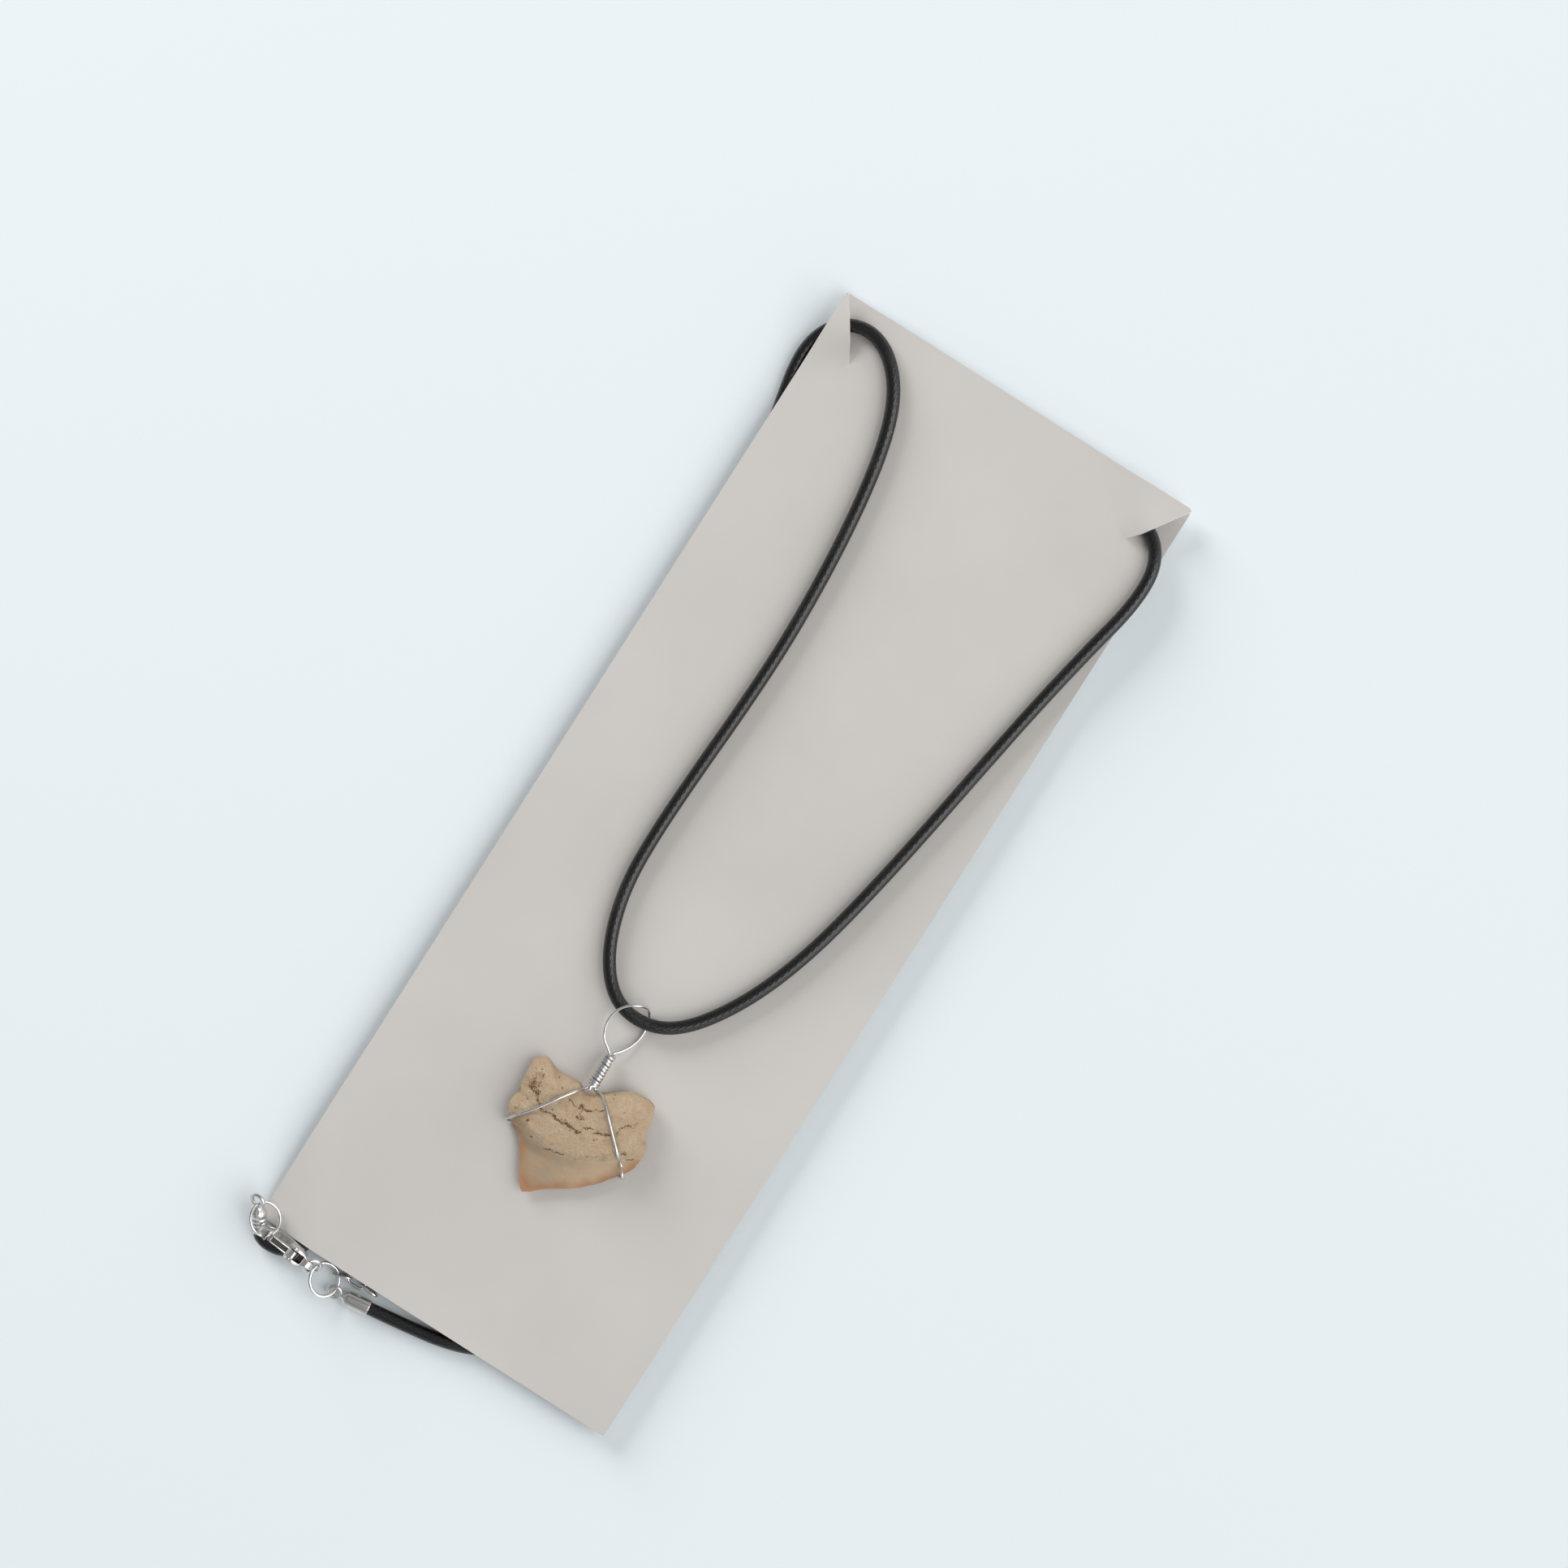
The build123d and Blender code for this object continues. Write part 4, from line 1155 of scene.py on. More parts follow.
@dataclass
class Tooth:
    """The fossil tooth: two root lobes, a worn crown with a saw edge, cracks and pits."""

    centre: tuple = (2.86, -45.39)
    edge_z: float = 3.98
    root_bulge: float = 3.3
    crown_bulge: float = 2.5
    crown_run: float = 6.2
    crown_blend: float = 3.4
    groove_depth: float = 0.5
    groove_x: float = 2.3
    groove_half: float = 1.9
    groove_run: float = 6.4
    back_bulge: float = 0.7
    softness: float = 1.1
    spacing: float = 0.10
    front_rings: int = 62
    back_rings: int = 14
    saw_pitch: float = 0.41
    saw_depth: float = 0.17
    left_saw: tuple = (-54.9, -47.6)
    right_saw: tuple = (1.6, 10.9)
    saw_below: float = -47.0
    lumpiness: float = 0.16
    step: float = 0.07
    crack_depth: float = 0.09
    pit_depth: float = 0.06
    ledge_depth: float = 0.03
    tip: tuple = (0.6, -56.2)
    outline: tuple = (
        (-7.2, -37.9), (-6.5, -37.8), (-5.9, -38.0), (-4.7, -38.5), (-3.5, -38.6), (-2.5, -38.5),
        (-1.5, -38.4), (-0.6, -38.4), (0.4, -39.0), (1.7, -39.0), (2.0, -38.3), (3.0, -37.7),
        (3.9, -37.1), (5.0, -36.3), (6.4, -35.4), (7.4, -35.2), (8.4, -35.1), (9.2, -35.1),
        (10.0, -35.3), (10.5, -35.8), (10.9, -36.9), (11.1, -38.0), (11.3, -39.1), (11.7, -40.3),
        (12.4, -40.9), (12.7, -41.7), (12.8, -42.9), (12.7, -44.1), (12.6, -44.8), (12.2, -45.6),
        (11.7, -46.4), (11.1, -47.2), (10.3, -48.2), (9.6, -49.2), (8.3, -50.5), (7.5, -51.3),
        (6.5, -52.1), (5.0, -53.1), (3.5, -54.1), (2.4, -55.0), (1.6, -55.8), (1.12, -56.12),
        (0.66, -56.40), (0.22, -56.22), (-0.4, -55.6), (-1.1, -54.6), (-1.9, -53.2), (-2.6, -52.0),
        (-3.3, -51.0), (-4.0, -50.2), (-4.7, -49.6), (-5.5, -49.1), (-6.4, -48.5), (-7.1, -48.0),
        (-7.6, -47.2), (-8.0, -46.2), (-7.9, -45.0), (-7.7, -44.2), (-8.0, -43.1), (-8.1, -41.9),
        (-8.2, -41.3), (-8.3, -39.9), (-8.2, -39.0),
    )
    border: tuple = (
        (-9.5, -48.5), (-7.4, -48.4), (-6.15, -48.65), (-5.06, -48.45), (-3.99, -48.70), (-2.92, -49.15),
        (-1.84, -49.25), (-0.07, -49.04), (1.7, -48.76), (3.01, -48.53), (4.72, -48.17), (6.6, -47.29),
        (8.5, -46.08), (9.91, -44.87), (10.9, -44.05), (12.2, -43.3), (14.0, -42.4),
    )
    cracks: tuple = (
        (0.20, ((-5.0, -42.9), (-3.95, -44.46), (-2.76, -44.43), (-1.75, -44.1), (-1.08, -44.21),
                (-0.17, -44.48), (0.77, -44.25), (1.74, -44.24), (2.64, -44.52), (3.27, -44.36))),
        (0.17, ((3.4, -43.42), (3.95, -42.95), (4.75, -43.05), (5.66, -42.96), (6.37, -42.75), (6.78, -42.24),
                (7.62, -41.83), (7.86, -41.07), (7.79, -40.39))),
        (0.11, ((7.79, -40.39), (8.2, -39.88), (8.8, -39.55), (9.37, -39.63))),
        (0.11, ((-1.06, -40.8), (-0.05, -41.25), (0.94, -41.47), (1.52, -41.22), (2.37, -41.04),
                (3.26, -40.53), (4.43, -39.69))),
        (0.13, ((1.04, -40.55), (1.68, -41.48))),
        (0.13, ((0.92, -41.24), (1.72, -40.97))),
        (0.14, ((1.43, -42.61), (1.94, -42.65), (2.51, -42.41))),
        (0.12, ((1.52, -42.07), (2.73, -42.56))),
        (0.13, ((-0.07, -49.04), (1.01, -48.83), (1.87, -48.65), (2.87, -48.5))),
        (0.11, ((-7.62, -44.24), (-7.88, -43.07), (-7.21, -42.4))),
        (0.16, ((-7.09, -42.21), (-6.02, -42.74), (-5.0, -42.82))),
        (0.16, ((9.91, -43.53), (10.63, -43.32))),
        (0.11, ((11.04, -44.15), (11.76, -43.57))),
        (0.14, ((1.17, -38.77), (1.88, -38.93))),
    )
    pitted: tuple = (
        (-6.38, -41.99, 1.35, 1.0), (-5.39, -42.58, 0.85, 0.95), (-6.17, -40.41, 0.95, 0.70),
        (-6.65, -45.57, 1.3, 0.40), (1.26, -41.02, 0.65, 0.60), (2.06, -42.46, 0.60, 0.85),
        (0.31, -44.30, 0.85, 0.80), (2.64, -44.52, 0.60, 0.80), (5.52, -42.93, 0.90, 0.60),
        (3.87, -43.01, 0.45, 0.70), (10.31, -43.40, 0.55, 0.80), (10.53, -39.74, 0.60, 0.50),
        (9.33, -38.80, 0.55, 0.40), (-3.9, -43.4, 0.9, 0.35), (7.6, -42.0, 0.8, 0.4),
    )
    spots: tuple = (
        (-4.32, -46.83, 0.22), (-2.47, -48.62, 0.14), (0.39, -45.75, 0.16), (1.80, -44.80, 0.15),
        (0.53, -47.85, 0.10), (5.88, -46.66, 0.14), (6.99, -46.00, 0.10), (8.49, -44.63, 0.10),
        (6.79, -43.28, 0.13), (5.41, -44.09, 0.13), (-3.73, -39.09, 0.15), (-3.60, -41.08, 0.13),
        (-2.52, -40.22, 0.11), (-6.41, -39.46, 0.13), (-7.22, -39.91, 0.12), (4.37, -38.26, 0.10),
        (4.67, -37.59, 0.10), (4.45, -37.05, 0.09), (7.01, -38.40, 0.10), (-2.06, -43.62, 0.13),
        (4.58, -48.14, 0.09), (-6.75, -46.36, 0.12), (-6.00, -44.30, 0.12), (-3.92, -42.61, 0.13),
    )

    def __post_init__(self) -> None:
        """Works out the even outline once."""
        self.edge, self.saw = self._even_outline()

    def _even_outline(self) -> tuple:
        """Smooths the outline's points and spaces them evenly.

        Returns:
            The outline's points and, for each, how far a saw tooth stands out there.
        """
        knots = np.array(self.outline)
        before, after, far = np.roll(knots, 1, 0), np.roll(knots, -1, 0), np.roll(knots, -2, 0)
        shares = np.linspace(0, 1, 20, endpoint=False)[None, :, None]
        a, b, c, d = (k[:, None, :] for k in (before, knots, after, far))
        smooth = 0.5 * (2 * b + (c - a) * shares + (2 * a - 5 * b + 4 * c - d) * shares ** 2
                        + (3 * b - a - 3 * c + d) * shares ** 3)
        dense = smooth.reshape(-1, 2)
        closed = np.vstack([dense, dense[:1]])
        lengths = walked(closed)
        marks = np.linspace(0, lengths[-1], int(lengths[-1] / self.spacing), endpoint=False)
        edge = read_at(marks, lengths, closed)
        saw = np.zeros(len(edge))
        (foot, top), (start, stop) = self.left_saw, self.right_saw
        for index, (x, y) in enumerate(edge):
            left = ease((top - y) / 0.8) * ease((y - foot) / 1.2) if x < 0 else 0.0
            right = ease((x - start) / 1.5) * ease((stop - x) / 2.5) if y < self.saw_below else 0.0
            wave = abs(math.sin(math.pi * marks[index] / self.saw_pitch))
            saw[index] = self.saw_depth * max(left, 1.25 * right) * (wave - 0.5)
        return edge, saw

    def share_in(self, x: float, y: float) -> float:
        """Gives how far in a place lies: 0 on the outline, 1 in the middle.

        Args:
            x: The place across.
            y: The place along.

        Returns:
            The share of the way from the outline to the middle.
        """
        ways = self.edge - np.array(self.centre)
        angle = np.arctan2(ways[:, 1], ways[:, 0])
        here = math.atan2(y - self.centre[1], x - self.centre[0])
        nearest = np.argmin(np.abs((angle - here + np.pi) % (2 * np.pi) - np.pi))
        reach = np.linalg.norm(ways[nearest])
        return max(0.0, 1 - math.hypot(x - self.centre[0], y - self.centre[1]) / reach)

    def depth_in(self, x: np.ndarray, y: np.ndarray) -> np.ndarray:
        """Gives a smooth distance from the outline, without ridges where two edges are as near.

        Args:
            x: Places across.
            y: Places along.

        Returns:
            The distance at each place, in millimetres.
        """
        away = np.hypot(x[:, None] - self.edge[None, :, 0], y[:, None] - self.edge[None, :, 1])
        total = np.exp(-away / self.softness).sum(axis=1) * self.spacing / (2 * self.softness)
        return np.maximum(0.0, -self.softness * np.log(total))

    def past_border(self, x: np.ndarray, y: np.ndarray) -> np.ndarray:
        """Gives how far each place lies above the border of crown and root, on the root's side."""
        line = np.array(self.border)
        return y - np.interp(x, line[:, 0], line[:, 1])

    def crown_at(self, x: np.ndarray, y: np.ndarray, blend: float) -> np.ndarray:
        """Gives 1 on the crown and 0 on the root, blended across their border over some millimetres."""
        return eased(0.5 - self.past_border(x, y) / blend)

    def front(self, x: np.ndarray, y: np.ndarray, share: np.ndarray) -> np.ndarray:
        """Gives the front's height over the edge without its fine marks.

        Args:
            x: Places across.
            y: Places along.
            share: How far each place lies from the edge to the centre.

        Returns:
            The height in millimetres.
        """
        crown = self.crown_at(x, y, self.crown_blend)
        root_height = self.root_bulge * np.sqrt(np.clip(1 - (1 - np.minimum(1, share * 2.2)) ** 2, 0, 1))
        rise = 1 - (1 - np.minimum(1, self.depth_in(x, y) / self.crown_run)) ** 1.6
        groove = self.groove_depth * np.exp(-((x - self.groove_x) / self.groove_half) ** 2)
        groove = groove * eased(1 + self.past_border(x, y) / self.groove_run)
        root = root_height - groove * np.minimum(1, share * 3)
        return root * (1 - crown) + self.crown_bulge * rise * crown

    def stains(self, x: np.ndarray, y: np.ndarray) -> tuple:
        """Gives where mineral stain gathers: along cracks and in spots, and in pitted patches.

        Args:
            x: Places across.
            y: Places along.

        Returns:
            The stain's nearness along cracks and spots, and the patches' strength, from 0 to 1.
        """
        across, along = x + 0.30 * clouds(x, y, 1.7, 0.0), y + 0.30 * clouds(x, y, 1.7, 7.0)
        swell = 1 + 1.1 * clouds(x, y, 1.1, 3.0)
        near, patch = np.zeros(len(x)), np.zeros(len(x))
        for width, line in self.cracks:
            for (ax, ay), (bx, by) in zip(line, line[1:]):
                dx, dy = bx - ax, by - ay
                share = np.clip(((across - ax) * dx + (along - ay) * dy) / (dx * dx + dy * dy), 0, 1)
                gap = np.hypot(across - ax - share * dx, along - ay - share * dy)
                near = np.maximum(near, 0.93 - gap / (2.2 * width * swell))
        for px, py, reach in self.spots:
            near = np.maximum(near, 1 - np.hypot(x - px, y - py) / (2.4 * reach))
        for px, py, reach, strength in self.pitted:
            inside = np.clip(1.15 - np.hypot(x - px, y - py) / (reach * 1.3), 0, 1)
            patch = np.maximum(patch, strength * inside)
        return near, patch

    def rings(self) -> tuple:
        """Draws rings from the edge to the middle, the front's first and then the back's.

        Returns:
            The rings' points, their heights over the edge and how far in each lies.
        """
        middle = np.array(self.centre)
        out = self.edge - middle
        out /= np.linalg.norm(out, axis=1)[:, None]
        fronts = [(i / self.front_rings) ** 1.15 * 0.985 for i in range(self.front_rings + 1)]
        backs = [(i / self.back_rings) ** 1.3 * 0.97 for i in range(1, self.back_rings + 1)]
        rings, rises, shares = [], [], []
        for index, share in enumerate(fronts + backs):
            ring = self.edge + (middle - self.edge) * share
            ring = ring + out * (self.saw * max(0.0, 1 - share / 0.05))[:, None]
            level = np.full(len(ring), share)
            back = -self.back_bulge * (1 - (1 - np.minimum(1, level * 2.5)) ** 2)
            rings.append(ring)
            rises.append(self.front(ring[:, 0], ring[:, 1], level) if index < len(fronts) else back)
            shares.append(level)
        return np.concatenate(rings), np.concatenate(rises), np.concatenate(shares)

    def shell(self, count: int) -> list:
        """Joins the rings to a closed shell.

        Args:
            count: The number of points in a ring.

        Returns:
            The faces, with the front's and the back's middle points after all the rings' points.
        """
        total = self.front_rings + self.back_rings + 1
        order = [list(range(r * count, (r + 1) * count)) for r in range(total)]
        front, back = order[:self.front_rings + 1], [order[0]] + order[self.front_rings + 1:]
        faces = []
        for group, hub, way in ((front, total * count, 1), (back, total * count + 1, -1)):
            for outer, inner in zip(group, group[1:]):
                faces += [(outer[i - 1], inner[i - 1], inner[i], outer[i])[::way] for i in range(count)]
            faces += [(group[-1][i - 1], hub, group[-1][i])[::way] for i in range(count)]
        return faces

    def build(self, material: Material) -> Piece:
        """Builds the tooth as rings from its edge to its middle, and paints the masks of its finish.

        Args:
            material: The tooth's finish.

        Returns:
            The tooth.
        """
        (x, y), rise, share = (part.T for part in self.rings())
        count = len(self.edge)
        last = count * self.front_rings
        front = np.arange(len(x)) < last + count
        crown = self.crown_at(x, y, 0.35)
        near, patch = self.stains(x, y)
        near, patch = np.where(front, near, near * 0.8), np.where(front, patch, patch * 0.6)
        lumps = np.array([noise.fractal((a * 0.75, b * 0.75, 1.5 * c), 1.0, 2.0, 4)
                          for a, b, c in zip(x, y, np.where(front, 1.0, -1.0))])
        ledge = np.exp(-((self.crown_at(x, y, 1.2) - 0.5) / 0.28) ** 2)
        relief = (self.lumpiness * lumps + self.step * (0.5 - crown)) * (1 - 0.75 * crown)
        relief -= self.crack_depth * near ** 4 + self.pit_depth * patch ** 2 + self.ledge_depth * ledge
        relief *= np.clip(share * 12, 0, 1)
        z = self.edge_z + rise + np.where(front, relief, -0.4 * relief)
        points = [tuple(spot(*place)) for place in zip(x, y, z)]
        points += [tuple(spot(*self.centre, height.mean())) for height in (z[last:last + count], z[-count:])]
        piece = Bench.mesh("fossil_tooth", points, [], self.shell(count))
        blotch = 0.5 + 0.9 * clouds(x, y, 0.55, 11.0)
        tip = np.exp(-(np.hypot(x - self.tip[0], y - self.tip[1]) / 2.2) ** 2)
        rim = np.clip(np.clip(1 - share / 0.24, 0, 1) ** 1.7 * (0.55 + blotch) + 0.75 * tip, 0, 1)
        lip = np.exp(-((self.crown_at(x, y, 0.8) - 0.45) / 0.25) ** 2) * front
        for name, mask in (("crown", crown), ("rim", rim), ("crack", near), ("patch", patch), ("ledge", lip)):
            Bench.paint(piece, name, [*mask, mask[last], mask[-1]])
        Bench.tidy(piece, 1e-8)
        return Bench.settle(piece, "fossil_tooth", material, Slot.TOOTH, ("tooth",), angle=60)


@dataclass
class WireWrap:
    """The pendant's silver wire: loop round the cord, coiled neck and two legs round the tooth."""

    tooth: Tooth
    radius: float = 0.2
    leg_radius: float = 0.225
    coil_radius: float = 0.255
    lift: float = 0.24
    neck_top: tuple = (0.80, -32.45, 4.25)
    neck_middle: tuple = (0.90, -35.10, 4.92)
    neck_foot: tuple = (1.00, -37.80, 5.60)
    leg_starts: tuple = ((-0.05, 0.35, -0.15), (0.05, 0.35, -0.15))
    leg_drop: float = 0.45
    turns: int = 10
    turn_steps: int = 10
    turn_start: float = 2.2
    coil: float = 0.64
    coil_start: float = 0.12
    coil_short: float = 0.35
    tail: tuple = ((0.10, 0.15, 0.62), (0.62, 0.10, 0.50))
    bail: tuple = (
        (0.88, -34.60, 4.72), (0.72, -32.70, 4.25), (-0.05, -31.95, 4.35), (-1.15, -31.10, 4.60),
        (-1.85, -29.85, 4.95), (-2.18, -28.15, 5.35), (-1.85, -26.45, 5.75), (-0.95, -25.10, 6.00),
        (0.30, -24.30, 5.85), (1.40, -23.95, 4.80), (2.15, -24.25, 3.45), (2.85, -25.40, 2.98),
        (3.20, -27.30, 3.00), (2.85, -29.50, 3.15), (1.95, -31.20, 3.60), (1.02, -32.40, 4.10),
        (0.92, -34.60, 4.70),
    )
    left_leg: tuple = (
        (0.45, -38.30), (-0.72, -39.66), (-2.01, -41.40), (-3.25, -43.28), (-4.63, -45.25), (-5.95, -46.85),
    )
    right_leg: tuple = (
        (1.75, -38.02), (2.75, -38.10), (3.79, -38.68), (4.90, -39.67), (6.13, -40.84), (7.77, -42.40),
        (9.45, -43.98), (10.80, -45.35),
    )
    left_shoulder: tuple = (-7.10, -48.70)
    right_shoulder: tuple = (12.05, -46.90)
    shoulder_share: float = 0.66
    shoulder_rise: float = 1.55
    tuck: float = 0.7
    clear: float = 0.05
    back_middle: tuple = (2.50, -47.90)
    back_z: float = 2.925

    def over(self, x: float, y: float) -> float:
        """Gives the height of the wire's middle where it lies on the tooth's front.

        Args:
            x: The place across.
            y: The place along.

        Returns:
            The height in millimetres.
        """
        share = self.tooth.share_in(x, y)
        rise = float(self.tooth.front(np.array([x]), np.array([y]), np.array([share]))[0])
        return self.tooth.edge_z + rise + self.radius + self.lift

    def leg(self, name: str, across: tuple, shoulder: tuple, start: tuple) -> Piece:
        """Bends one leg from the neck over the root's face, round its edge and behind it.

        Args:
            name: The piece's name.
            across: Where it crosses the face.
            shoulder: Where it turns round the edge.
            start: Where it leaves the neck, from the neck's foot.

        Returns:
            The leg.
        """
        edge, last, middle = Vector(shoulder), Vector(across[-1]), Vector(self.back_middle)
        near = last + (edge - last) * self.shoulder_share
        inward = edge + (middle - edge).normalized() * self.tuck
        begin = [foot + shift for foot, shift in zip(self.neck_foot, start)]
        first, edge_z = across[0], self.tooth.edge_z
        route = [spot(*begin), spot(*first, max(self.over(*first), begin[2] - self.leg_drop))]
        route += [spot(x, y, self.over(x, y)) for x, y in across[1:]]
        route += [
            spot(*near, edge_z + self.shoulder_rise), spot(*edge, edge_z + self.clear),
            spot(*inward, self.back_z + self.clear), spot(*((inward + middle) / 2), self.back_z),
            spot(*middle, self.back_z)]
        return Bench.wire(name, route, self.leg_radius * MM)

    def neck(self) -> Piece:
        """Winds the neck's coil round the bail's two ends, a little uneven, as by hand.

        Returns:
            The coil.
        """
        top, foot = Vector(self.neck_top), Vector(self.neck_foot)
        way = (foot - top).normalized()
        side = way.cross(Vector((0, 0, 1))).normalized()
        up = side.cross(way)
        total = self.turns * self.turn_steps
        run = (foot - top).length - self.coil_short
        points = []
        for index in range(total + 1):
            turn = 2 * math.pi * index / self.turn_steps + self.turn_start
            swell = self.coil * (1 + 0.05 * math.sin(index * 0.83))
            along = self.coil_start + run * index / total + 0.035 * math.sin(index * 0.37)
            points.append(spot(*(top + way * along + (side * math.cos(turn) + up * math.sin(turn)) * swell)))
        points += [spot(*(foot + way * a + side * b + up * c)) for a, b, c in self.tail]
        return Bench.wire("neck_coil", points, self.coil_radius * MM, along=3)

    def build(self, material: Material) -> Piece:
        """Builds the wire as one soldered piece.

        Args:
            material: The wire's finish.

        Returns:
            The wire.
        """
        bail = Bench.wire("bail", [spot(*p) for p in self.bail], self.radius * MM, along=10)
        left = self.leg("left_leg", self.left_leg, self.left_shoulder, self.leg_starts[0])
        right = self.leg("right_leg", self.right_leg, self.right_shoulder, self.leg_starts[1])
        middle = [spot(*place) for place in (self.neck_top, self.neck_middle, self.neck_foot)]
        core = Bench.wire("core", middle, self.radius * MM)
        wrap = Bench.join([self.neck(), bail, left, right, core])
        return Bench.settle(wrap, "silver_wire_wrap", material, Slot.WIRE, ("wire_wrap",), angle=60)


@dataclass
class SplitRing:
    """A jump ring of round wire whose two cut ends meet at a fine gap."""

    name: str
    node: str
    middle: tuple
    across: tuple
    outwards: tuple
    outer: float
    wire: float
    gap_at: float
    gap: float = 1.6
    lean: float = 0.035
    steps: int = 28

    def build(self, material: Material) -> Piece:
        """Bends the ring.

        Args:
            material: The ring's finish.

        Returns:
            The ring.
        """
        laid, radius = facing(self.across, self.outwards), (self.outer - self.wire) / 2
        points = []
        for index in range(self.steps + 1):
            share = index / self.steps
            turn = math.radians(self.gap_at + self.gap / 2 + (360 - self.gap) * share)
            lean = self.lean * (2 * share - 1) ** 5
            bent = Vector((math.cos(turn) * radius, math.sin(turn) * radius, lean))
            points.append(spot(*(Vector(self.middle) + laid @ bent)))
        ring = Bench.wire(self.name, points, self.wire / 2 * MM, along=5, around=5)
        return Bench.settle(ring, self.name, material, Slot.RING, (self.node,), angle=50)


@dataclass
class ChainLink:
    """An oval link of the extender chain, with its butted seam."""

    number: int
    middle: tuple
    along: tuple
    outwards: tuple
    length: float = 3.2
    width: float = 2.0
    wire: float = 0.50
    seam: float = 0.03

    def build(self, material: Material) -> Piece:
        """Bends the link.

        Args:
            material: The link's finish.

        Returns:
            The link.
        """
        side, half = (self.width - self.wire) / 2, (self.length - self.width) / 2
        plan = [(self.seam, side), (half * 0.5, side)]
        for end, first in ((1, 90), (-1, 270)):
            for step in range(9):
                turn = math.radians(first - 22.5 * step)
                plan.append((end * half + side * math.cos(turn), side * math.sin(turn)))
            if end == 1:
                plan.append((0.0, -side))
        plan += [(-half * 0.5, side), (-self.seam, side)]
        laid = facing(self.along, self.outwards)
        points = [spot(*(Vector(self.middle) + laid @ Vector((a, b, 0.0)))) for a, b in plan]
        name = f"chain_oval_{self.number}"
        link = Bench.wire(name, points, self.wire / 2 * MM, along=4, around=5)
        return Bench.settle(link, name, material, Slot.RING, (f"chain_link_{self.number}",), angle=50)


@dataclass
class CordEnd:
    """A plated cord end: wire loop, rounded shoulder, rolled tube with a seam and an open mouth."""

    name: str
    node: str
    loop: tuple
    axis: tuple
    outwards: tuple
    mouth: float
    seam_turn: float
    ribs: tuple = ()
    radius: float = 1.2
    bore: float = 1.03
    lip: float = 0.40
    rib_shape: tuple = ((-0.20, 0.0), (-0.12, 0.05), (0.0, 0.13), (0.12, 0.05), (0.20, 0.0))
    seam_start: float = 2.3
    seam_half: float = 0.07
    seam_depth: float = 0.10
    loop_radius: float = 1.0
    loop_wire: float = 0.56

    def profile(self) -> list:
        """Gives the tube's section from the loop to the mouth and back inside.

        Returns:
            Pairs of length along the axis and radius, in millimetres.
        """
        full, bore, end = self.radius, self.bore, self.mouth + self.lip
        rows = [(0.95, 0.0), (0.95, 0.30), (1.02, 0.42), (1.20, 0.50), (1.45, 0.72), (1.70, 0.98),
                (1.95, 1.13), (2.20, full)]
        rows += [(rib + along, full - sunk) for rib in self.ribs for along, sunk in self.rib_shape]
        rows += [(end - 0.30, full), (end - 0.08, full), (end - 0.02, full - 0.02), (end, full - 0.07),
                 (end - 0.01, bore + 0.03), (end - 0.08, bore), (end - 0.9, bore), (end - 1.0, 0.0)]
        return rows

    def tube(self) -> Piece:
        """Spins the tube and cuts its seam.

        Returns:
            The tube, along X from the loop's middle.
        """
        rows = self.profile()
        edges = [(index, index + 1) for index in range(len(rows) - 1)]
        tube = Bench.mesh(self.name, [(a * MM, 0.0, b * MM) for a, b in rows], edges, [])
        with Bench.editing(tube):
            bpy.ops.mesh.spin(steps=48, angle=2 * math.pi, center=(0, 0, 0), axis=(1, 0, 0))
        Bench.tidy(tube, 2e-6)
        low = (self.seam_start, -self.seam_half, self.radius - self.seam_depth)
        high = (self.mouth + 1, self.seam_half, 2.0)
        cutter = Bench.box([a * MM for a in low], [b * MM for b in high])
        cutter.data.transform(Matrix.Rotation(math.radians(self.seam_turn), 4, "X"))
        Bench.cut(tube, cutter)
        return tube

    def build(self, material: Material) -> Piece:
        """Joins the tube and its wire loop and lays them in place.

        Args:
            material: The cord end's finish.

        Returns:
            The cord end.
        """
        tube, count = self.tube(), 20
        turns = [2 * math.pi * i / count for i in range(count)]
        ring = [Vector((math.cos(t), math.sin(t), 0)) * self.loop_radius * MM for t in turns]
        eye = Bench.wire("eye", ring, self.loop_wire / 2 * MM, closed=True, along=4, around=5)
        end = Bench.join([tube, eye])
        end.data.transform(Matrix.Translation(spot(*self.loop)) @ facing(self.axis, self.outwards).to_4x4())
        return Bench.settle(end, self.name, material, Slot.CORD_END, (self.node,), angle=40)


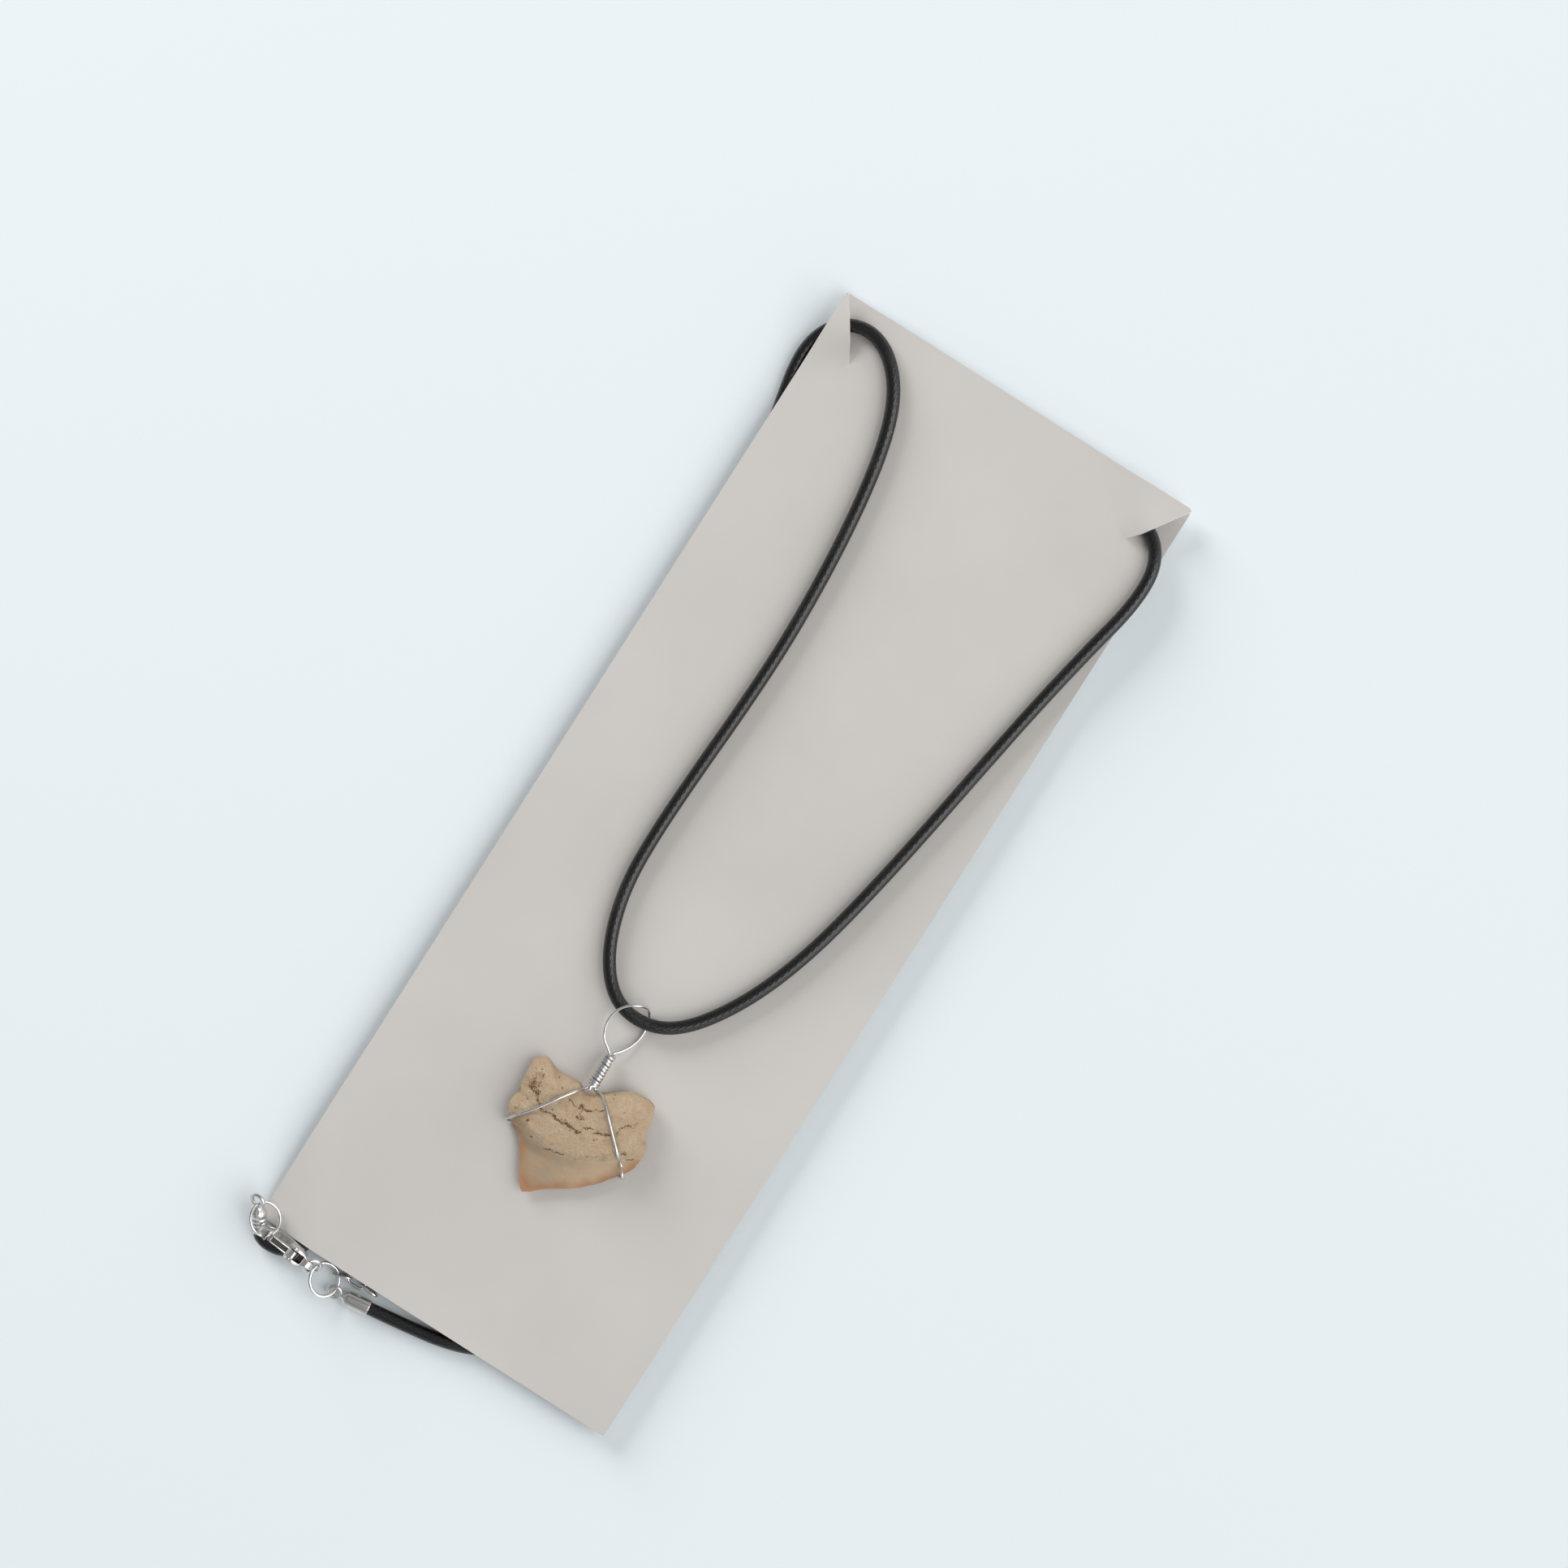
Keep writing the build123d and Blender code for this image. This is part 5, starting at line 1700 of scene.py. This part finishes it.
@dataclass
class Clasp:
    """The lobster clasp, standing on its edge: cast body with hook and eye, and the sprung lever."""

    origin: tuple = (-28.9, -81.2, 2.2)
    along: tuple = (0.9936, -0.1132, 0.0)
    thickness: float = 2.4
    lever_thickness: float = 1.1
    lever_gap: float = 0.08
    lever_wall: float = 0.2
    pivot: tuple = (6.3, 2.75)
    pin_radius: float = 0.3
    bore_radius: float = 0.36
    eye: tuple = (8.5, 2.0)
    eye_radius: float = 0.62
    swell: tuple = (6.4, 2.0)
    slot_room: tuple = (4.6, 7.8, 1.75)
    plan: tuple = ((-1.0, 0.375), (0.3, 0.42), (1.2, 0.72), (2.2, 1.0), (3.2, 1.17), (4.4, 1.2), (6.9, 1.2),
                   (7.5, 1.12), (8.0, 0.85), (8.5, 0.55), (10.0, 0.5))

    def placed(self, piece: Piece) -> None:
        """Moves a piece from the clasp's own frame, in millimetres, to its place."""
        laid = facing(self.along, (0, 0, 1)).to_4x4()
        piece.data.transform(Matrix.Translation(spot(*self.origin)) @ laid @ Matrix.Scale(MM, 4))

    @staticmethod
    def arc(centre: tuple, radius: float, first: float, last: float, steps: int) -> list:
        """Gives points of an arc of a side view, from its first angle to its last, in degrees."""
        angles = [math.radians(first + (last - first) * i / steps) for i in range(steps + 1)]
        return [(centre[0] + radius * math.cos(a), centre[1] + radius * math.sin(a)) for a in angles]

    @staticmethod
    def slab(name: str, outline: list, half: float) -> Piece:
        """Gives a side view its thickness.

        Args:
            name: The piece's name.
            outline: The side view's points, across X and Z.
            half: Half its thickness.

        Returns:
            The piece, as a closed prism.
        """
        piece = Bench.mesh(name, [(x, -half, z) for x, z in outline], [], [tuple(range(len(outline)))])
        with Bench.editing(piece):
            bpy.ops.mesh.extrude_region_move(TRANSFORM_OT_translate={"value": (0, 2 * half, 0)})
            bpy.ops.mesh.select_all(action="SELECT")
            bpy.ops.mesh.normals_make_consistent(inside=False)
        return piece

    def rod(self, name: str, centre: tuple, radius: float, half: float) -> Piece:
        """Gives a round rod across the clasp, as a pin or to cut a hole with."""
        return self.slab(name, self.arc(centre, radius, 0, 345, 23), half)

    def body_outline(self) -> list:
        """Gives the body's side view, from the hook's tip round the nose and the eye and back inside.

        Returns:
            The outline's points.
        """
        outer = [(1.75, 4.60)] + self.arc((2.3, 2.3), 2.3, 105, 270, 22)
        outer += [(4.0, 0.12)] + self.arc(self.swell, 1.75, 262, 300, 5)
        outer += [(7.9, 0.96)] + self.arc(self.eye, 1.1, -80, 80, 14) + [(7.9, 3.04)]
        outer += self.arc(self.swell, 1.75, 62, 92, 5)
        inner = [(5.9, 3.84), (5.45, 3.25), (5.15, 2.95)] + self.arc((4.6, 2.1), 1.15, 32, -82, 9)
        inner += self.arc((2.25, 2.35), 1.70, 262, 118, 16) + [(1.75, 3.95)]
        return outer + inner

    def lever_outline(self) -> list:
        """Gives the lever's side view: tongue, thumb knob, boss and the tongue's underside.

        Returns:
            The outline's points.
        """
        outline = [(1.95, 3.74), (1.95, 4.38), (2.25, 4.50), (2.6, 4.55), (4.0, 4.34), (5.3, 4.06),
                   (5.75, 4.02)]
        outline += self.arc((6.25, 3.95), 0.42, 165, 20, 8) + [(6.75, 3.55)]
        outline += self.arc(self.pivot, 0.8, 45, -150, 16)
        return outline + [(5.35, 2.75), (5.1, 3.05), (4.85, 3.28), (3.4, 3.52)]

    @staticmethod
    def cast(piece: Piece, grain: float, passes: int) -> None:
        """Rounds a sharp piece all over, as a polished casting is, with a mesh as fine as its grain."""
        Bench.change(piece, "REMESH", mode="VOXEL", voxel_size=grain, adaptivity=0.0)
        Bench.change(piece, "SMOOTH", factor=0.5, iterations=passes)

    @staticmethod
    def paint_recess_shade(piece: Piece, inside: Callable) -> None:
        """Paints shade on the places that lie deep in the hollows, by how deep each lies, from 0 to 1."""
        depths = [min(1.0, max(0.0, inside(*vertex.co))) for vertex in piece.data.vertices]
        Bench.paint(piece, "recess_shade", depths)

    def body(self, material: Material) -> Piece:
        """Builds the body with its slot, pin and eye, narrowed towards the hook and the eye.

        Args:
            material: The clasp's finish.

        Returns:
            The body.
        """
        half, slot = self.thickness / 2, self.lever_thickness / 2 + self.lever_gap
        body = self.slab("clasp_cast_body", self.body_outline(), half)
        Bench.cut(body, self.rod("eye_hole", self.eye, self.eye_radius, 3))
        self.cast(body, 0.07, 14)
        lengths, widths = zip(*self.plan)
        for vertex in body.data.vertices:
            vertex.co.y *= float(np.interp(vertex.co.x, lengths, widths)) / half
        Bench.change(body, "SMOOTH", factor=0.5, iterations=6)
        left, right, foot = self.slot_room
        Bench.cut(body, Bench.box((left, -slot, foot), (right, slot, 7.0)))
        self.cast(body, 0.06, 3)
        # Painted shade on the walls of the lever's slot.
        self.paint_recess_shade(body, lambda x, y, z: min((slot + 0.10 - abs(y)) * 12, (x - 4.5) * 6, (8.0 - x) * 6,
                                              (z - 1.6) * 6))
        pin = self.rod("pin", self.pivot, self.pin_radius, half + 0.03)
        Bench.change(pin, "BEVEL", width=0.06, segments=2, limit_method="ANGLE", angle_limit=math.radians(60))
        body = Bench.join([body, pin])
        self.placed(body)
        return Bench.settle(body, "clasp_cast_body", material, Slot.CLASP, ("clasp_body",), angle=60)

    def lever(self, material: Material) -> Piece:
        """Builds the lever: boss, channelled tongue and thumb knob.

        Args:
            material: The clasp's finish.

        Returns:
            The lever.
        """
        half = self.lever_thickness / 2
        channel = [(2.45, 4.15), (2.45, 5.2), (5.2, 5.2), (5.2, 3.80)]
        lever = self.slab("clasp_thumb_lever", self.lever_outline(), half)
        Bench.cut(lever, self.rod("bore", self.pivot, self.bore_radius, 3))
        Bench.cut(lever, self.slab("channel", channel, half - self.lever_wall))
        self.cast(lever, 0.045, 4)
        # Painted shade in the lever's channel.
        self.paint_recess_shade(lever, lambda x, y, z: min((half - 0.17 - abs(y)) * 14, (x - 2.4) * 10, (5.3 - x) * 10,
                                               (4.92 - 0.18 * x - z) * 10, (z - 3.55) * 10))
        self.placed(lever)
        return Bench.settle(lever, "clasp_thumb_lever", material, Slot.CLASP, ("clasp_lever",), TURNING, 60)


@dataclass
class Studio:
    """Pale floor, soft lights and the camera straight above."""

    middle: tuple = (0.00233, 0.0169, 0.003)
    right: tuple = (0.8436, 0.5370, 0.0)
    up: tuple = (-0.5370, 0.8436, 0.0)
    distance: float = 0.543
    lens: float = 85.0
    floor: tuple = (0.775, 0.830, 0.855)
    floor_cloud: tuple = (0.70, 0.77, 0.80)
    backdrop: tuple = (0.72, 0.77, 0.79)
    heights: tuple = (
        (0.0, (0.05, 0.05, 0.051)), (0.10, (0.80, 0.81, 0.82)), (0.48, (1.05, 1.06, 1.07)),
        (0.60, (0.25, 0.248, 0.245)), (0.72, (0.25, 0.248, 0.245)), (0.82, (0.75, 0.755, 0.76)),
        (1.0, (0.50, 0.505, 0.51)),
    )
    sides: tuple = ((0.10, 0.40), (0.50, 0.50), (0.85, 1.25))

    def camera(self) -> None:
        """Sets the camera over the picture's middle, turned as the picture is."""
        data = bpy.data.cameras.new("camera")
        data.lens, data.sensor_width = self.lens, 36.0
        data.clip_start, data.clip_end = 0.01, 10.0
        camera = bpy.data.objects.new("camera", data)
        camera.location = Vector(self.middle) + Vector((0, 0, self.distance))
        camera.rotation_euler = (0, 0, math.atan2(self.right[1], self.right[0]))
        bpy.context.scene.collection.objects.link(camera)
        bpy.context.scene.camera = camera

    def lamp(self, name: str, place: tuple, size: tuple, power: float, mirrored: bool = True) -> None:
        """Adds a soft area light that faces the middle.

        Args:
            name: The light's name.
            place: Its place towards the picture's right, towards its top and upwards, in metres.
            size: Its two sides, in metres.
            power: Its power in watts.
            mirrored: Whether glossy surfaces mirror it.
        """
        data = bpy.data.lights.new(name, "AREA")
        data.shape, data.size, data.size_y = "RECTANGLE", size[0], size[1]
        data.energy = power
        light = bpy.data.objects.new(name, data)
        light.visible_glossy = mirrored
        away = Vector(self.right) * place[0] + Vector(self.up) * place[1] + Vector((0, 0, place[2]))
        light.location = Vector(self.middle) + away
        light.rotation_euler = (-away).to_track_quat("-Z", "Y").to_euler()
        bpy.context.scene.collection.objects.link(light)

    def sky(self) -> None:
        """Lays soft light all round, in bands and from the lower right, so that bright metal has contrast."""
        world = bpy.data.worlds.new("soft_light")
        world.use_nodes = True
        recipe = Recipe(world.node_tree)
        way = recipe.add("ShaderNodeTexCoord").outputs["Generated"]
        towards = recipe.add("ShaderNodeVectorMath", operation="DOT_PRODUCT")
        recipe.feed(towards.inputs[0], way)
        recipe.feed(towards.inputs[1], (Vector(self.right) * 0.9 - Vector(self.up) * 0.43).normalized())
        side = recipe.ramp(recipe.scaled(towards.outputs["Value"], 0.5, 0.5), *self.sides)
        shade = recipe.mix(1.0, recipe.ramp(recipe.parts(way)["Z"], *self.heights), side, "MULTIPLY")
        seen = recipe.add("ShaderNodeLightPath").outputs["Is Camera Ray"]
        tone = recipe.mix(seen, shade, self.backdrop)
        recipe.fill(world.node_tree.nodes["Background"], Color=tone, Strength=1.0)
        bpy.context.scene.world = world

    def ground(self) -> None:
        """Lays the pale floor under everything."""
        Bench.clear()
        bpy.ops.mesh.primitive_plane_add(size=14.0, location=(0, 0, -0.00002))
        floor = bpy.context.object
        floor.name = "floor"
        material, recipe, skin = new_material("pale_floor")
        cloud = recipe.times(recipe.noise(recipe.place(), 0.004, 2.0), 0.06)
        recipe.fill(skin, Base_Color=recipe.mix(cloud, self.floor, self.floor_cloud), Roughness=0.9,
                    Specular_IOR_Level=0.2)
        floor.data.materials.append(material)

    def build(self) -> None:
        """Sets up the whole studio."""
        self.camera()
        self.sky()
        self.ground()
        self.lamp("window", (0.87, -0.40, 1.15), (1.50, 1.30), 12.6)
        self.lamp("low_key", (-0.80, 1.12, 0.58), (0.80, 0.80), 17.5, mirrored=False)


def split_rings() -> list[SplitRing]:
    """Gives the three jump rings as they hang and lie.

    Returns:
        The rings.
    """
    return [
        SplitRing("left_split_ring", "left_jump_ring", (-28.9496, -79.9673, 4.1037),
                  (-0.8029, 0.5873, 0.1025), (-0.4287, -0.4492, -0.7839), 5.4, 0.45, 75),
        SplitRing("small_split_ring", "clasp_ring", (-19.4429, -82.2775, 3.4327),
                  (0.7935, -0.0904, -0.6018), (0.4941, -0.4816, 0.7238), 3.05, 0.52, 80),
        SplitRing("right_split_ring", "right_jump_ring", (-16.9273, -83.1617, 2.2282),
                  (0.8641, -0.3399, -0.3712), (0.4796, 0.3323, 0.8121), 5.45, 0.54, 250),
    ]


def chain_links() -> list[ChainLink]:
    """Gives the extender's three links, each turned a quarter against the one before.

    Returns:
        The links.
    """
    return [
        ChainLink(1, (-15.0289, -81.497, 1.06), (0.9292, 0.3697, 0.0), (-0.3697, 0.9292, 0.0)),
        ChainLink(2, (-12.8476, -81.0009, 1.06), (0.9998, -0.02, 0.0), (0.0, 0.0, 1.0)),
        ChainLink(3, (-10.5724, -81.1182, 1.06), (0.9949, -0.1005, 0.0), (0.1005, 0.9949, 0.0)),
    ]


def cord_ends() -> list[CordEnd]:
    """Gives the two cord ends: the left one ribbed and standing, the right one plain and lying.

    Returns:
        The cord ends.
    """
    return [
        CordEnd("left_cord_end", "left_crimp", (-31.27, -78.27, 4.4), (0.4312, -0.7312, -0.5286),
                (-0.1982, -0.6483, 0.7352), 5.033, 20, (2.9, 3.6, 4.3)),
        CordEnd("right_cord_end", "right_crimp", (-14.72, -84.03, 1.28), (0.9932, 0.1161, -0.0057),
                (0.0629, -0.496, 0.866), 5.256, -35),
    ]


def main() -> None:
    """Builds the studio, the cord and every piece, in that order."""
    logging.basicConfig(level=logging.INFO, format="%(name)s: %(message)s")
    bpy.context.scene.view_settings.view_transform = "Standard"
    Studio().build()
    shared = SharedEffects()
    Cord().build(CordFinish().make(shared))
    Card().build(CardFinish().make(shared))
    tooth = Tooth()
    tooth.build(ToothFinish().make(shared))
    silver = MetalFinish("bright_silver_wire", (0.78, 0.78, 0.775), (0.50, 0.49, 0.475), 0.18, 0.38)
    plated = MetalFinish("plated_metal", (0.80, 0.79, 0.775), (0.50, 0.48, 0.45), 0.10, 0.32)
    # The cast metal takes painted shade in its hollows.
    cast = MetalFinish("plated_cast_metal", (0.78, 0.77, 0.755), (0.46, 0.44, 0.41), 0.12, 0.36, 0.5, True)
    rolled = MetalFinish("rolled_cord_end", (0.76, 0.75, 0.73), (0.44, 0.42, 0.39), 0.14, 0.38, 0.6)
    WireWrap(tooth).build(silver.make(shared))
    plate = plated.make(shared)
    for ring in split_rings() + chain_links():
        ring.build(plate)
    roll = rolled.make(shared)
    for end in cord_ends():
        end.build(roll)
    clasp, casting = Clasp(), cast.make(shared)
    clasp.body(casting)
    clasp.lever(casting)


if __name__ == "__main__":
    main()
